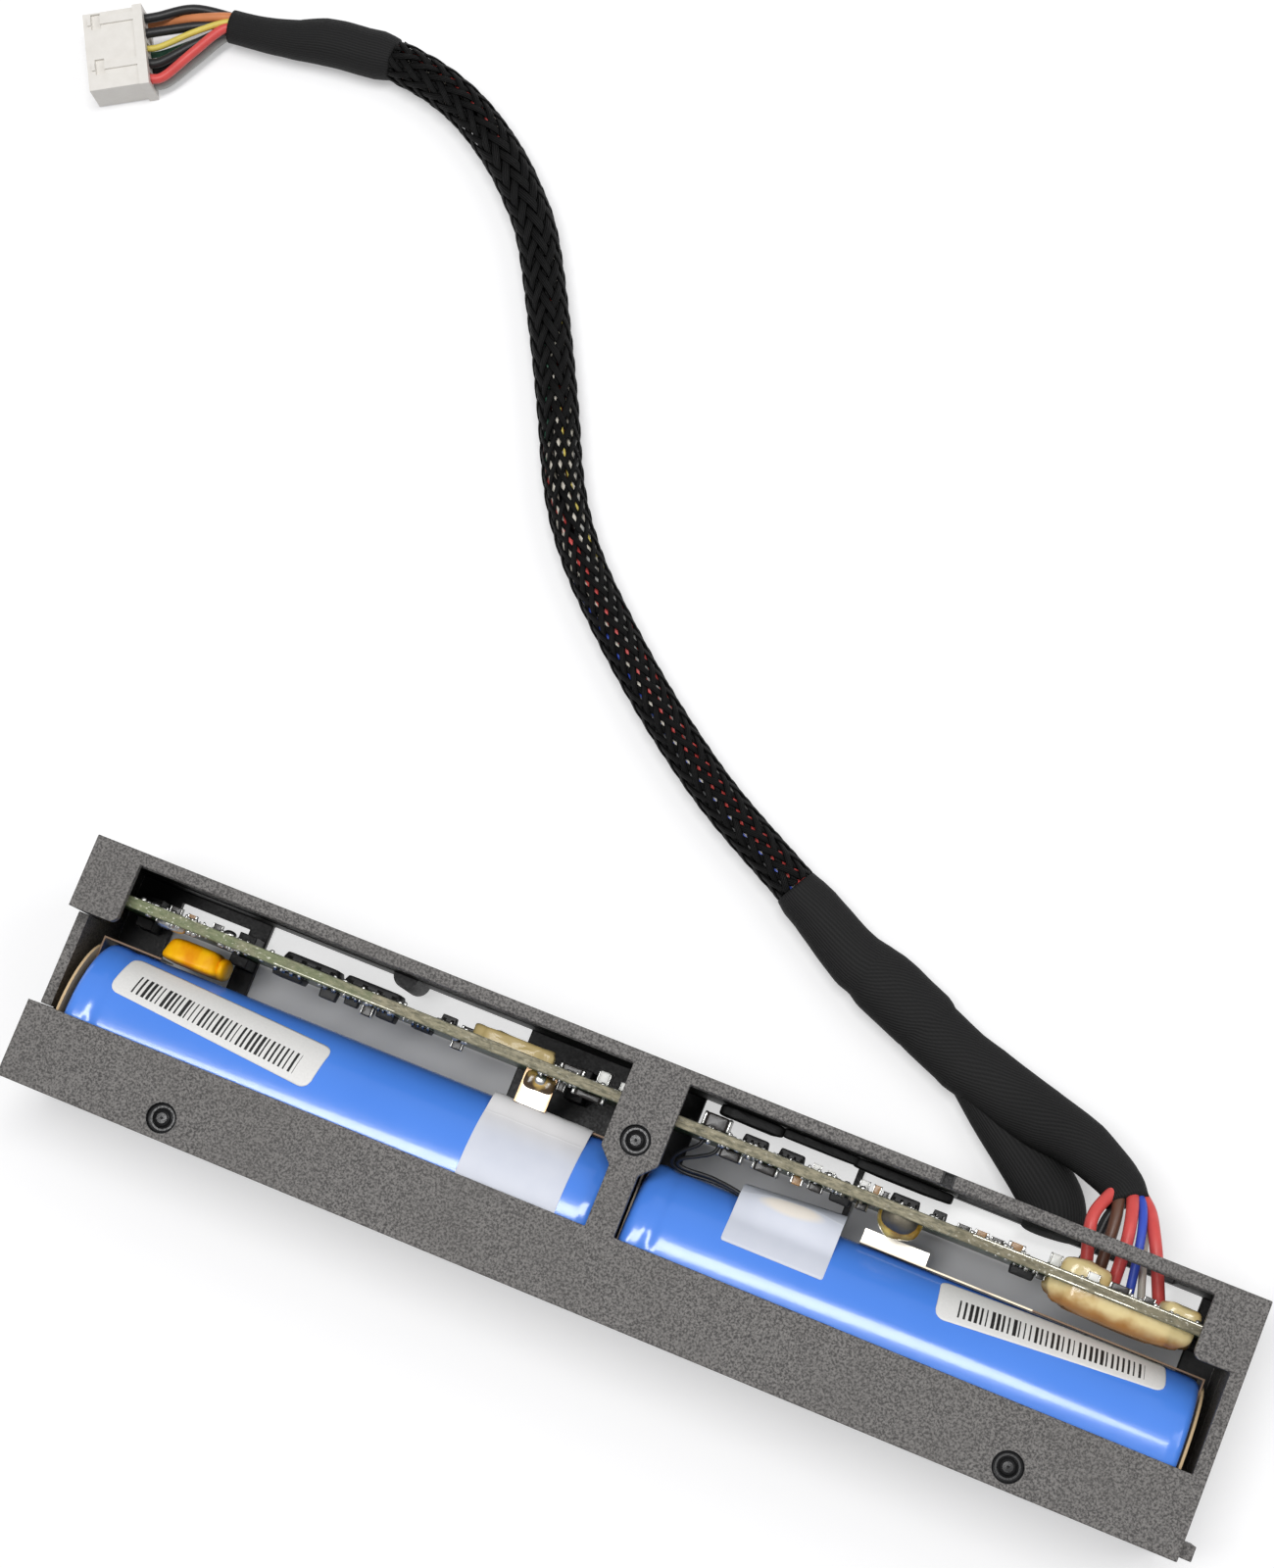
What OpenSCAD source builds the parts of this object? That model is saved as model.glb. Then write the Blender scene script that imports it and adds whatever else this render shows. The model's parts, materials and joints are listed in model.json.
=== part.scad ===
// Battery module of a RAID controller: two cylindrical cells end to end in a windowed two-part holder,
// with their board on edge beside them and a sleeved lead that ends in a white plug.
// X runs along the cells, Y towards the side the lead leaves, Z out of the windowed face.

/* [Cells] */
// Diameter of a cell over its sleeve
cell_d = 18.35; // [17.6:0.05:18.8]
// Length of a cell from its base to its button
cell_l = 65; // [62:0.5:68]
// Thickness of the shrink sleeve on a cell
sleeve_t = 0.15; // [0.1:0.05:0.25]
// Free space between a cell and the holder round it
cell_clear = 0.15; // [0.1:0.05:0.3]
// Thickness of the nickel strips
strip_t = 0.2; // [0.1:0.05:0.3]
// Width of the nickel strips
strip_w = 6; // [4:0.5:7]

/* [Holder] */
// Thickness of the floor of the tray
floor_t = 1.1; // [0.8:0.1:2]
// Thickness of the windowed face of the cover
face_t = 1.2; // [0.8:0.1:2]
// Thickness of the long walls
wall_t = 1.5; // [1.3:0.1:2]
// Thickness of the end walls
end_t = 1.3; // [1:0.1:2]
// Wall left beside a cell where it comes nearest to the outside
side_min = 0.5; // [0.4:0.1:1.2]
// Free length between an end wall and the cell next to it
end_gap = 2.1; // [1.6:0.1:4]
// Free length between the two cells
mid_gap = 3.2; // [2.6:0.1:5]
// Free height between the cells and the face of the cover
head_gap = 0.2; // [0.1:0.1:1]
// Height of the low end wall above the cells' middle
end_rise = 5.6; // [3:0.1:8]
// Free space between the tray and the cover where they slide together
seam_clear = 0.1; // [0.05:0.05:0.2]

/* [Windows] */
// Width of the band along the cell side of the face
band_w = 9.2; // [8:0.1:9.4]
// Width of the rail along the lead side of the face
rail_w = 1.55; // [1.2:0.05:2.4]
// Width of the rail at the right end of the face
end_rail_w = 1.6; // [1.4:0.1:3]
// Length of the corner blocks of the face
corner_l = 5.9; // [4:0.1:9]
// Width of the corner blocks of the face
corner_w = 8.7; // [7:0.1:10]
// Radius of the corner blocks' inner corners
corner_r = 1; // [0.5:0.1:2]
// Length of the middle rib's head
rib_head_l = 6.7; // [5.5:0.1:9]
// Width of the middle rib's head across the face
rib_head_w = 11.3; // [9:0.1:12]
// Length of the middle rib's stem
rib_stem_l = 3.4; // [2.4:0.1:5]
// Height of the slope between the rib's head and its stem
rib_slope = 1.7; // [1:0.1:2.5]
// Radius of the round gate recesses in the face
gate_r = 1.75; // [1:0.05:2]

/* [Board] */
// Thickness of the circuit board
board_t = 1.3; // [1:0.1:2]
// Height of the board, which stands on edge on the floor
board_h = 16.9; // [14:0.1:17.5]
// Free space between the cells and the board
board_gap = 4.25; // [4:0.05:6]
// Free space between the board and the wall behind it
parts_gap = 3.5; // [3.15:0.05:5]
// Free length between the board and an end wall
board_end_gap = 1.2; // [0.8:0.1:3]

/* [Labels and tapes] */
// Thickness of the paper labels
label_t = 0.08; // [0.05:0.01:0.12]
// Length of a label along its cell
label_l = 26; // [18:0.5:30]
// Width of a label round its cell
label_w = 6.4; // [4:0.1:8]
// Thickness of the clear tapes
tape_t = 0.06; // [0.04:0.01:0.1]
// Width of a tape along its cell
tape_w = 12; // [6:0.5:16]

/* [Lead] */
// Diameter of the braided sleeve
braid_d = 5.5; // [5:0.1:5.8]
// Width of the flat cloth wrap
wrap_w = 7.4; // [6:0.1:7.8]
// Thickness of the flat cloth wrap
wrap_h = 5; // [4:0.1:5.2]
// Diameter of the thick wires
wire_d = 1.2; // [0.9:0.05:1.25]
// Diameter of the thin wires
thin_wire_d = 0.8; // [0.6:0.1:0.9]
// Length of the plug along the lead
plug_l = 7.6; // [6:0.1:9]
// Width of the plug across the lead
plug_w = 10.2; // [9.8:0.1:13]
// Height of the plug
plug_h = 5.6; // [5.4:0.1:7]

/* [Hidden] */
$fn = 48;
cell_fn = 96;
eps = 0.01;

// Outline of the holder, stacked up from what lies in it
cell_r = cell_d / 2;
can_r = cell_r - sleeve_t;
channel_r = cell_r + cell_clear;
body_l = 2 * (end_t + end_gap + cell_l) + mid_gap;
body_w = side_min + cell_d + board_gap + board_t + parts_gap + wall_t;
body_h = floor_t + cell_clear + cell_d + head_gap + face_t;
x0 = -body_l / 2;
x1 = body_l / 2;
y_low = -body_w / 2;
y_high = body_w / 2;
cell_y = y_low + side_min + cell_r;
cell_z = floor_t + cell_clear + cell_r;
split_z = cell_z;
cell_side_y = cell_y + cell_r;
left_cell_x = x0 + end_t + end_gap;
right_cell_x = x1 - end_t - end_gap - cell_l;
board_y = cell_side_y + board_gap;
board_top = floor_t + board_h;
board_l = body_l - 2 * (end_t + board_end_gap);
wall_y = y_high - wall_t;
face_z = body_h - face_t;

// A distance along the holder counts from its left end, or from its right end where it is negative
function along(u) = u < 0 ? x1 + u : x0 + u;

// Edges of the face's windows
band_y = y_low + band_w;
rail_y = y_high - rail_w;
corner_y = y_high - corner_w;

// The lead's way out through the long wall, from and to, and the bottom of the gap
exit_from = -35;
exit_to = -9;
exit_low = 3;
exit_high = 16;

// Openings in the floor, from and to along the holder; the first one is narrower
floor_open_y = cell_y + 7;
narrow_open = [7, 15.9];
narrow_open_y = wall_y - 1.4;
wide_opens = [[18.4, 52], [-65.9, -46.6], [-45.9, -5.2]];

// Where the saddles under the cells, and the forks that hold the board, stand
saddle_t = 1.6;
saddle_at = [10, 58, -58, -10];
fork_l = 2.2;
fork_t = 1.2;
fork_h = 4.5;
fork_at = [4.8, 17.1, 60, -4];

lip_t = 0.6;
lip_h = 1;
tab_l = 1.6;
tab_w = 1.7;
tab_h = 6;
boss_at = 37.3;
boss_r = 1.5;
latch_at = -36.7;
gates = [[19.6, 26.9], [body_l / 2, 9.45], [-19.9, 26.9]];

// Shade of each material, for the construction views
black_plastic = [0.24, 0.24, 0.235];
cloth_black = [0.1, 0.1, 0.1];
nickel = [0.78, 0.76, 0.7];
chip_black = [0.09, 0.09, 0.1];
sleeve_blue = [0.22, 0.45, 0.8];
paper_white = [0.9, 0.89, 0.87];

// ---------------------------------------------------------------- helpers

// A box from one corner to the opposite one
module box(low, high) translate(low) cube(high - low);

// A place along the board, in percent of its length from its left end
function board_x(percent) = board_l * (percent / 100 - 0.5);

// Stands its children on the board: side 1 is the lead side, side -1 the cell side, and drop counts down from
// its top edge
module on_board(side, percent, drop) {
    face_y = side > 0 ? board_y + board_t : board_y;
    translate([board_x(percent), face_y, board_top - drop]) rotate([side > 0 ? -90 : 90, 0, 0]) children();
}

// A block that stands on the board's face
module block(l, w, h) translate([-l / 2, -w / 2, 0]) cube([l, w, h]);

// Points of an arc round centre c with radius r from angle a0 to a1
function arc(c, r, a0, a1, n = 5) = [for (i = [0:n]) let (a = a0 + (a1 - a0) * i / n) c + r * [cos(a), sin(a)]];

// One ring of a swept tube: an ellipse of half width a and half height b, square to the direction t
function ring(p, t, a, b, n) = let (
    d = t / norm(t),
    side = [-d[1], d[0], 0] / norm([d[0], d[1]]),
    up = cross(d, side)
) [for (k = [0:n - 1]) p + a * cos(360 * k / n) * side + b * sin(360 * k / n) * up];

// A tube swept along points, one ring on each; from and to turn its first and last ring
module tube(points, a, b, n = 8, from = undef, to = undef) {
    last = len(points) - 1;
    middle = [for (i = [0:last]) points[min(i + 1, last)] - points[max(i - 1, 0)]];
    turned = [for (i = [0:last]) i == 0 && !is_undef(from) ? from : i == last && !is_undef(to) ? to : middle[i]];
    rings = [for (i = [0:last]) ring(points[i], turned[i], a, b, n)];
    faces = concat(
        [[for (k = [0:n - 1]) k]],
        [for (i = [0:last - 1], k = [0:n - 1]) let (m = (k + 1) % n)
            [i * n + k, (i + 1) * n + k, (i + 1) * n + m, i * n + m]],
        [[for (k = [n - 1:-1:0]) last * n + k]]);
    polyhedron([for (r = rings) each r], faces);
}

// A round wire along points, whose first ring faces the long wall
module wire(points, d, to) tube(points, d / 2, d / 2, 8, [0, 1, 0], to);

// ---------------------------------------------------------------- holder

// The round room for the two cells, half in the tray and half in the cover
module cell_channel()
    translate([x0 + end_t, cell_y, cell_z]) rotate([0, 90, 0])
        cylinder(h = body_l - 2 * end_t, r = channel_r, $fn = cell_fn);

// The hollow between the walls
module hollow(z_low, z_high)
    box([x0 + end_t, y_low + wall_t, z_low], [x1 - end_t, wall_y, z_high]);

// Corners under the cells: plates across the tray that the channel is then cut from
module saddles()
    for (u = saddle_at)
        box([along(u) - saddle_t / 2, y_low + eps, floor_t - eps], [along(u) + saddle_t / 2, floor_open_y, cell_z - 6]);

// Pairs of posts that the board's lower edge stands between
module board_forks()
    for (u = fork_at, y = [board_y - seam_clear - fork_t, board_y + board_t + seam_clear])
        box([along(u) - fork_l / 2, y, floor_t - eps], [along(u) + fork_l / 2, y + fork_t, floor_t + fork_h]);

// Openings through the floor beside and under the board
module floor_openings() {
    box([along(narrow_open[0]), floor_open_y, -1], [along(narrow_open[1]), narrow_open_y, floor_t + 1]);
    for (o = wide_opens)
        box([along(o[0]), floor_open_y, -1], [along(o[1]), wall_y, floor_t + 1]);
}

// The gap in the long wall that the lead leaves by
module lead_exit() box([along(exit_from), wall_y - 1, exit_low], [along(exit_to), y_high + 1, exit_high]);

// A tongue along the seam, inside the cover's walls
module seam_lip() {
    box([x0 + end_t + 2, wall_y, split_z - eps], [along(exit_from) - 1, wall_y + lip_t, split_z + lip_h]);
    box([along(exit_to) + 1, wall_y, split_z - eps], [x1 - end_t - seam_clear, wall_y + lip_t, split_z + lip_h]);
}

// The part of the left end wall that stands in the cover's notch
module low_end_wall()
    box([x0, band_y + seam_clear, split_z - eps], [x0 + end_t, corner_y - seam_clear, split_z + end_rise]);

// Half-round boss on the long wall
module wall_boss()
    intersection() {
        translate([along(boss_at), wall_y, floor_t]) cylinder(h = split_z - floor_t, r = boss_r);
        box([x0, y_low, 0], [x1, wall_y + eps, body_h]);
    }

module tray() color(black_plastic) difference() {
    union() {
        difference() {
            box([x0, y_low, 0], [x1, y_high, split_z]);
            hollow(floor_t, split_z + 1);
            floor_openings();
        }
        saddles();
        board_forks();
        seam_lip();
        low_end_wall();
        wall_boss();
    }
    cell_channel();
    lead_exit();
}

// Outline of a corner block with its inner corner rounded, toward +x or -x
module corner_block(way) {
    inner = corner_l - corner_r;
    scale([way, 1]) union() {
        translate([-1, 0]) square([inner + 1, corner_w + 1]);
        translate([-1, corner_r]) square([corner_l + 1, corner_w - corner_r + 1]);
        translate([inner, corner_r]) circle(corner_r);
    }
}

// Outline of the middle rib: a wide head that slopes to a narrow stem
module rib_outline() {
    head_y = y_high - rib_head_w;
    polygon([[-rib_head_l / 2, y_high], [-rib_head_l / 2, head_y], [-rib_stem_l / 2, head_y - rib_slope],
        [-rib_stem_l / 2, band_y - 1], [rib_stem_l / 2, band_y - 1], [rib_stem_l / 2, head_y - rib_slope],
        [rib_head_l / 2, head_y], [rib_head_l / 2, y_high]]);
}

// The windows, which are open to the left end below the left corner block
module window_outline() difference() {
    translate([x0 - 1, band_y]) square([body_l + 1 - end_rail_w, rail_y - band_y]);
    translate([x0, corner_y]) corner_block(1);
    translate([x1, corner_y]) corner_block(-1);
    rib_outline();
}

// A round gate recess: a dished ring about a low domed pip
module gate_recess(depth = 0.6, pip_r = 0.85)
    translate([0, 0, body_h]) rotate_extrude()
        polygon(concat([[0, 1], [0, -0.28]], [[pip_r * 0.2, -0.2], [pip_r * 0.7, -0.22], [pip_r, -0.4]],
            arc([(pip_r + gate_r) / 2, -depth / 2], (gate_r - pip_r) / 2, 200, 340), [[gate_r, -0.1], [gate_r, 1]]));

// Web under the middle rib, between the ends of the cells
module rib_web() {
    web_t = mid_gap - 2 * strip_t - 1.6;
    box([-web_t / 2, y_low + wall_t - eps, face_z - 5], [web_t / 2, board_y - 1, face_z + eps]);
}

// Tab on the right end wall
module end_tab()
    box([x1 - eps, y_low + 0.5, face_z - tab_h - 1], [x1 + tab_l, y_low + 0.5 + tab_w, face_z - 1]);

module cover() color(black_plastic) difference() {
    union() {
        difference() {
            box([x0, y_low, split_z], [x1, y_high, body_h]);
            hollow(split_z - 1, face_z);
        }
        rib_web();
        end_tab();
    }
    cell_channel();
    translate([0, 0, face_z - 1]) linear_extrude(face_t + 2) window_outline();
    // notch in the left end that the tray's low end wall stands in
    box([x0 - 1, band_y, split_z - 1], [x0 + end_t + eps, corner_y, body_h + 1]);
    // rebate for the tray's tongue
    box([x0 + end_t, wall_y - 1, split_z - 1],
        [x1 - end_t, wall_y + lip_t + seam_clear, split_z + lip_h + seam_clear]);
    lead_exit();
    // small notch in the rail beside the latch
    box([along(latch_at) - 0.5, rail_y + 0.1, body_h - 0.7], [along(latch_at) + 0.5, y_high - 0.15, body_h + 1]);
    for (g = gates) translate([along(g[0]), y_high - g[1], 0]) gate_recess();
}

// ---------------------------------------------------------------- cells

// Half outline of a cell's can at a distance g outside its metal, from its base to its crimped shoulder
function cell_outline(g) = let (
    r = can_r + g,
    foot = 0.6 + g,
    top = cell_l - 0.5 + g,
    groove_z = cell_l - 3.6,
    shoulder = 1.1 + g
) concat(
    arc([r - foot, foot - g], foot, -90, 0, 3),
    [[r, groove_z - 0.9], [r - 0.45, groove_z - 0.3], [r - 0.45, groove_z + 0.3], [r, groove_z + 0.9]],
    arc([r - shoulder, top - shoulder], shoulder, 0, 90, 4));

button_r = 3.1;
washer_hole_r = button_r + 0.65;
washer_r = washer_hole_r + 1.1;
fold_r = washer_r + 1;

// The metal can with its button, base at z 0
module can()
    rotate_extrude($fn = cell_fn)
        polygon(concat([[0, 0]], cell_outline(0), [[fold_r - 0.6, cell_l - 0.5], [fold_r - 0.9, cell_l - 1],
            [button_r + 0.6, cell_l - 1], [button_r, cell_l - 0.8], [button_r, cell_l - 0.1],
            [button_r - 0.2, cell_l], [0, cell_l]]));

// The shrink sleeve, which folds in over both ends
module sleeve() {
    outer = cell_outline(sleeve_t);
    inner = cell_outline(0);
    rotate_extrude($fn = cell_fn)
        polygon(concat([[fold_r, -sleeve_t]], outer, [[fold_r, cell_l - 0.5 + sleeve_t]],
            [[fold_r, cell_l - 0.5]], [for (i = [len(inner) - 1:-1:0]) inner[i]], [[fold_r, 0]]));
}

// Lays a cell along X with its button to the left
module lay_cell(x) translate([x + cell_l, cell_y, cell_z]) rotate([0, -90, 0]) children();

module cell_left_can() color("silver") lay_cell(left_cell_x) can();
module cell_right_can() color("silver") lay_cell(right_cell_x) can();
module cell_left_sleeve() color(sleeve_blue) lay_cell(left_cell_x) sleeve();
module cell_right_sleeve() color(sleeve_blue) lay_cell(right_cell_x) sleeve();

// Insulating rings round the buttons, in the hollow of the crimp
module button_washers() color(paper_white)
    for (x = [left_cell_x, right_cell_x])
        lay_cell(x) translate([0, 0, cell_l - 0.98]) difference() {
            cylinder(h = 0.3, r = washer_r);
            translate([0, 0, -1]) cylinder(h = 2, r = washer_hole_r);
        }

// ---------------------------------------------------------------- strips and cut-off

strip_low = cell_z - strip_w / 2;
strip_high = cell_z + strip_w / 2;
strip_y = cell_side_y + 0.1;
left_face = left_cell_x - strip_t;
right_face = right_cell_x + cell_l + sleeve_t;
paper_t = 0.3;
cutoff_l = 8.8;
cutoff_t = 3;
cutoff_at = 14.9;

paper_inset = 0.5;

// Paper discs between the end strips and the end walls, a little smaller than the cells
module end_papers() color([0.8, 0.68, 0.5]) {
    reach = strip_y + strip_t + paper_t - cell_y;
    for (x = [left_face - paper_t, right_face + strip_t])
        translate([x, cell_y, cell_z]) intersection() {
            rotate([0, 90, 0]) cylinder(h = paper_t, r = cell_r - paper_inset, $fn = cell_fn);
            box([-1, -cell_r, 0.5 - cell_r], [1, reach, cell_r - 0.4]);
        }
}

// A strip across a cell's end, round the corner and along the cell's side
module angle_strip(x_end, x_far) {
    low_x = min(x_end, x_far);
    high_x = max(x_end, x_far);
    end_x = x_end < x_far ? x_end : x_end - strip_t;
    box([end_x, cell_y - 4, strip_low], [end_x + strip_t, strip_y + strip_t, strip_high]);
    box([low_x, strip_y, strip_low], [high_x, strip_y + strip_t, strip_high]);
}

negative_end = -43.3;
negative_flap_l = 7.7;
negative_flap_w = 1.8;
tap_l = 3.8;
tap_x = board_x(40.2) - tap_l / 2;
bridge_lap = 1.9;
tap_t = 0.3;
tap_rise = 0.8;
tap_hold = 3;

module positive_strip() color(nickel) angle_strip(left_face, along(cutoff_at) - cutoff_l / 2);

module negative_strip() color(nickel) {
    far = along(negative_end);
    angle_strip(right_face + strip_t, far);
    // end bent out towards the board
    box([far, strip_y, strip_low + 1], [far + negative_flap_l, strip_y + negative_flap_w, strip_low + 1 + strip_t]);
}

// Strip folded between the two cells and along the left one's side
module bridge_strip() color(nickel) {
    gap_low = left_cell_x + cell_l + sleeve_t;
    gap_high = right_cell_x - strip_t;
    box([gap_low, cell_y - 4, strip_low], [gap_low + strip_t, strip_y + strip_t, strip_high]);
    box([gap_high, cell_y - 4, strip_low], [gap_high + strip_t, strip_y + strip_t, strip_high]);
    box([tap_x - bridge_lap, strip_y, strip_low], [gap_high + strip_t, strip_y + strip_t, strip_high]);
}

// Bright tab that joins the bridge strip to the board
module centre_tap_tab() color([0.9, 0.88, 0.82]) {
    tab_y = strip_y + strip_t;
    tab_top = strip_high + tap_rise;
    box([tap_x, tab_y, strip_high - tap_hold], [tap_x + tap_l, tab_y + tap_t, tab_top]);
    box([tap_x, tab_y, tab_top - tap_t], [tap_x + tap_l, board_y, tab_top]);
}

// Thermal cut-off wrapped in amber film, with domed back and flat front
module thermal_cutoff() color([0.9, 0.6, 0.1]) {
    low = strip_y + strip_t + 0.05;
    translate([along(cutoff_at) - cutoff_l / 2, low, cell_z + 0.8]) union() {
        box([1.5, 0, -3.2], [cutoff_l, cutoff_t, 3.2]);
        translate([1.5, cutoff_t / 2, -3.2]) cylinder(h = 6.4, r = cutoff_t / 2);
    }
}

// ---------------------------------------------------------------- board and what is on it

plated_r = 0.3;
plated_at = [88.1, 90, 91.5, 92.9, 94.4];

module circuit_board() color([0.42, 0.5, 0.28])
    difference() {
        translate([-board_l / 2, board_y, floor_t]) cube([board_l, board_t, board_h]);
        // plated holes beside the lead's wires
        for (p = plated_at) on_board(-1, p, 5) cylinder(h = 2 * board_t + 2, r = plated_r, center = true);
    }

// An eight-legged chip: moulded body with sloped sides on bent legs
module chip_with_legs(l, w, h, legs = 4) {
    pitch = l / legs;
    translate([0, 0, 0.1]) rotate([90, 0, 90]) linear_extrude(l, center = true)
        polygon([[-w / 2 + 0.15, 0], [-w / 2, h / 2], [-w / 2 + 0.15, h], [w / 2 - 0.15, h], [w / 2, h / 2], [w / 2 - 0.15, 0]]);
    for (i = [0:legs - 1], s = [-1, 1])
        translate([(i - (legs - 1) / 2) * pitch, s * (w / 2 + 0.3), 0]) {
            block(pitch * 0.4, 0.7, 0.2);
            translate([0, -s * 0.25, 0]) block(pitch * 0.4, 0.2, h / 2 + 0.1);
        }
}

// A chip part: a ceramic or resin middle between two metal ends
module chip_part(l, w, h) {
    block(l, w * 0.94, h * 0.94);
    for (s = [-1, 1]) translate([s * (l / 2 - l * 0.11), 0, 0]) block(l * 0.22, w, h);
}

// Each row: side of the board, place along it in percent, middle's distance below its top edge, length, width,
// thickness
control_chip_at = [[1, 18.4, 5.8, 7.2, 4, 0.9], [1, 24.1, 5.6, 7.3, 4, 0.95], [1, 72.1, 4.6, 3.5, 3, 1],
    [-1, 82.9, 5.2, 3, 3, 1], [-1, 29.1, 5.4, 2.5, 3, 0.5]];
power_transistor_at = [[1, 58.9, 4.6, 3.1, 3.2, 0.95], [1, 62.1, 4.6, 3.1, 3.2, 0.95],
    [-1, 16.8, 5.4, 4, 4, 0.7], [-1, 25.9, 5.2, 2.4, 3, 0.9], [-1, 67, 5.2, 2.6, 3, 1]];
small_transistor_at = [[1, 31.2, 3.8, 1.9, 1.4, 0.8], [1, 75.1, 4, 1.7, 1.4, 0.9], [-1, 22.8, 4.2, 1.8, 1.4, 0.9],
    [-1, 20.8, 3.6, 2.2, 1.6, 1.2]];
tan_capacitor_at = [[1, 78.8, 3.6, 1.7, 0.9, 0.7], [1, 81.8, 3.6, 2, 1.2, 0.9], [-1, 63.2, 3.6, 1.5, 0.9, 1],
    [1, 69.6, 3.6, 1, 1, 1.1], [1, 7.3, 3.4, 1.2, 0.8, 0.7]];
dark_chip_at = [[1, 5.7, 3.8, 1.5, 1, 0.9], [1, 9.7, 3.4, 1.2, 0.8, 0.8], [1, 33.5, 3.8, 2.8, 2, 0.5],
    [1, 55.3, 4.6, 3.3, 3, 1.8], [1, 70.4, 3.8, 0.8, 1.2, 0.8], [1, 77.3, 3.6, 1.6, 0.9, 0.6],
    [1, 80.2, 3.6, 1.6, 0.9, 0.6], [1, 90.6, 1.6, 2.5, 1.4, 0.8], [-1, 24.4, 3.8, 1.4, 1.4, 1.4],
    [-1, 57.3, 4.4, 3, 2.4, 1.2], [-1, 60.4, 4.4, 3.2, 2.2, 1.1], [-1, 64.8, 4, 1.8, 1.4, 0.9],
    [-1, 68.9, 3.8, 1.4, 1.2, 0.9], [-1, 42.1, 4, 0.9, 1.2, 1.1], [-1, 44.5, 4.4, 4, 2.6, 0.8],
    [-1, 84.4, 3.6, 1, 0.7, 0.6], [1, 93.1, 1.4, 1.3, 0.8, 0.7], [1, 42.5, 3.6, 3, 1.6, 0.8],
    [-1, 32.6, 3.8, 1.4, 1, 1.1]];
white_chip_at = [[1, 45.2, 4, 1.5, 1.5, 1.6], [1, 47, 3.6, 0.8, 1, 1.2], [1, 64.4, 3.4, 1, 0.8, 0.8],
    [1, 65.6, 3.4, 0.9, 0.8, 0.6], [1, 68.5, 4, 1.2, 1.4, 1.15], [1, 85.1, 4, 1.4, 1.6, 1.45],
    [1, 88.3, 0.8, 1.4, 0.8, 0.9]];

module control_chips() color(chip_black)
    for (c = control_chip_at) on_board(c[0], c[1], c[2]) chip_with_legs(c[3], c[4], c[5]);

module power_transistors() color(chip_black)
    for (c = power_transistor_at) on_board(c[0], c[1], c[2]) chip_with_legs(c[3], c[4], c[5], 4);

module small_transistors() color(chip_black)
    for (c = small_transistor_at) on_board(c[0], c[1], c[2]) chip_with_legs(c[3], c[4], c[5], 2);

module tan_capacitors() color([0.7, 0.55, 0.35])
    for (c = tan_capacitor_at) on_board(c[0], c[1], c[2]) chip_part(c[3], c[4], c[5]);

module dark_chip_parts() color([0.15, 0.14, 0.14])
    for (c = dark_chip_at) on_board(c[0], c[1], c[2]) chip_part(c[3], c[4], c[5]);

module white_chip_parts() color([0.92, 0.92, 0.9])
    for (c = white_chip_at) on_board(c[0], c[1], c[2]) chip_part(c[3], c[4], c[5]);

// Rounded solder: a low dome on the board's face
module dome(r, h) intersection() {
    translate([0, 0, h - (r * r + h * h) / (2 * h)]) sphere((r * r + h * h) / (2 * h), $fn = 24);
    block(2 * r + 1, 2 * r + 1, h + 1);
}

// Each row: side of the board, place along it in percent, radius, height
solder_drop = 2.8;
solder_joint_at = [[-1, 5.3, 1, 0.6], [-1, 6.6, 0.9, 0.7], [-1, 72.2, 2.6, 2.5], [1, 4.1, 0.7, 0.5], [1, 11, 0.8, 0.6]];

module solder_joints() color("silver") {
    for (j = solder_joint_at) on_board(j[0], j[1], solder_drop) dome(j[2], j[3]);
}

// A rounded bead of resin between two places on the board's face
module bead(l, r, h) hull() {
    for (s = [-1, 1]) translate([s * (l / 2 - r), 0, 0]) dome(r, h * 0.9);
    dome(r, h);
}

// Each row: side of the board, place along it in percent, middle's distance below its top edge, length, radius,
// height
upper_bead_at = [[1, 37.5, 1.3, 9.8, 1.2, 1.35], [1, 87.7, 2.8, 5.2, 1.2, 2], [1, 95.8, 2.6, 4.6, 1.6, 1.25]];
lower_bead_at = [[-1, 91.2, 3.6, 17.2, 2.8, 2.8]];

module beads(rows) for (g = rows) on_board(g[0], g[1], g[2]) bead(g[3], g[4], g[5]);

module glue_upper() color([0.85, 0.76, 0.5]) beads(upper_bead_at);

module glue_lower() color([0.82, 0.68, 0.42]) beads(lower_bead_at);

// Black sealant along the long wall: short runs of differing thickness
module sealant_run(from, to, r) intersection() {
    translate([along(from), wall_y, split_z - 1.5]) rotate([0, 90, 0]) cylinder(h = to - from, r = r);
    box([x0, y_low, 0], [x1, wall_y, split_z]);
}

sealant_runs = [[-63, -56, 1.1], [-55.5, -47, 0.8], [-46.5, -36, 1]];

module wall_sealant() color(cloth_black)
    for (r = sealant_runs) sealant_run(r[0], r[1], r[2]);

// ---------------------------------------------------------------- thermistor, tapes and labels

// Lays its children flat on the right or left cell: local z is the normal at the given angle from the crest
module on_cell(x, angle) translate([x, cell_y, cell_z]) rotate([-angle, 0, 0]) children();

// A film of thickness t on a cell, trimmed to an outline drawn flat
module film(l, t) intersection() {
    translate([-l / 2, 0, 0]) rotate([0, 90, 0]) difference() {
        cylinder(h = l, r = cell_r + t, $fn = cell_fn);
        translate([0, 0, -1]) cylinder(h = l + 2, r = cell_r, $fn = cell_fn);
    }
    linear_extrude(cell_r + 1) children();
}

// A rectangle with round corners
module round_rectangle(l, w, r) union() {
    square([l - 2 * r, w], center = true);
    square([l, w - 2 * r], center = true);
    for (sx = [-1, 1], sy = [-1, 1]) translate([sx * (l / 2 - r), sy * (w / 2 - r)]) circle(r);
}

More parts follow.
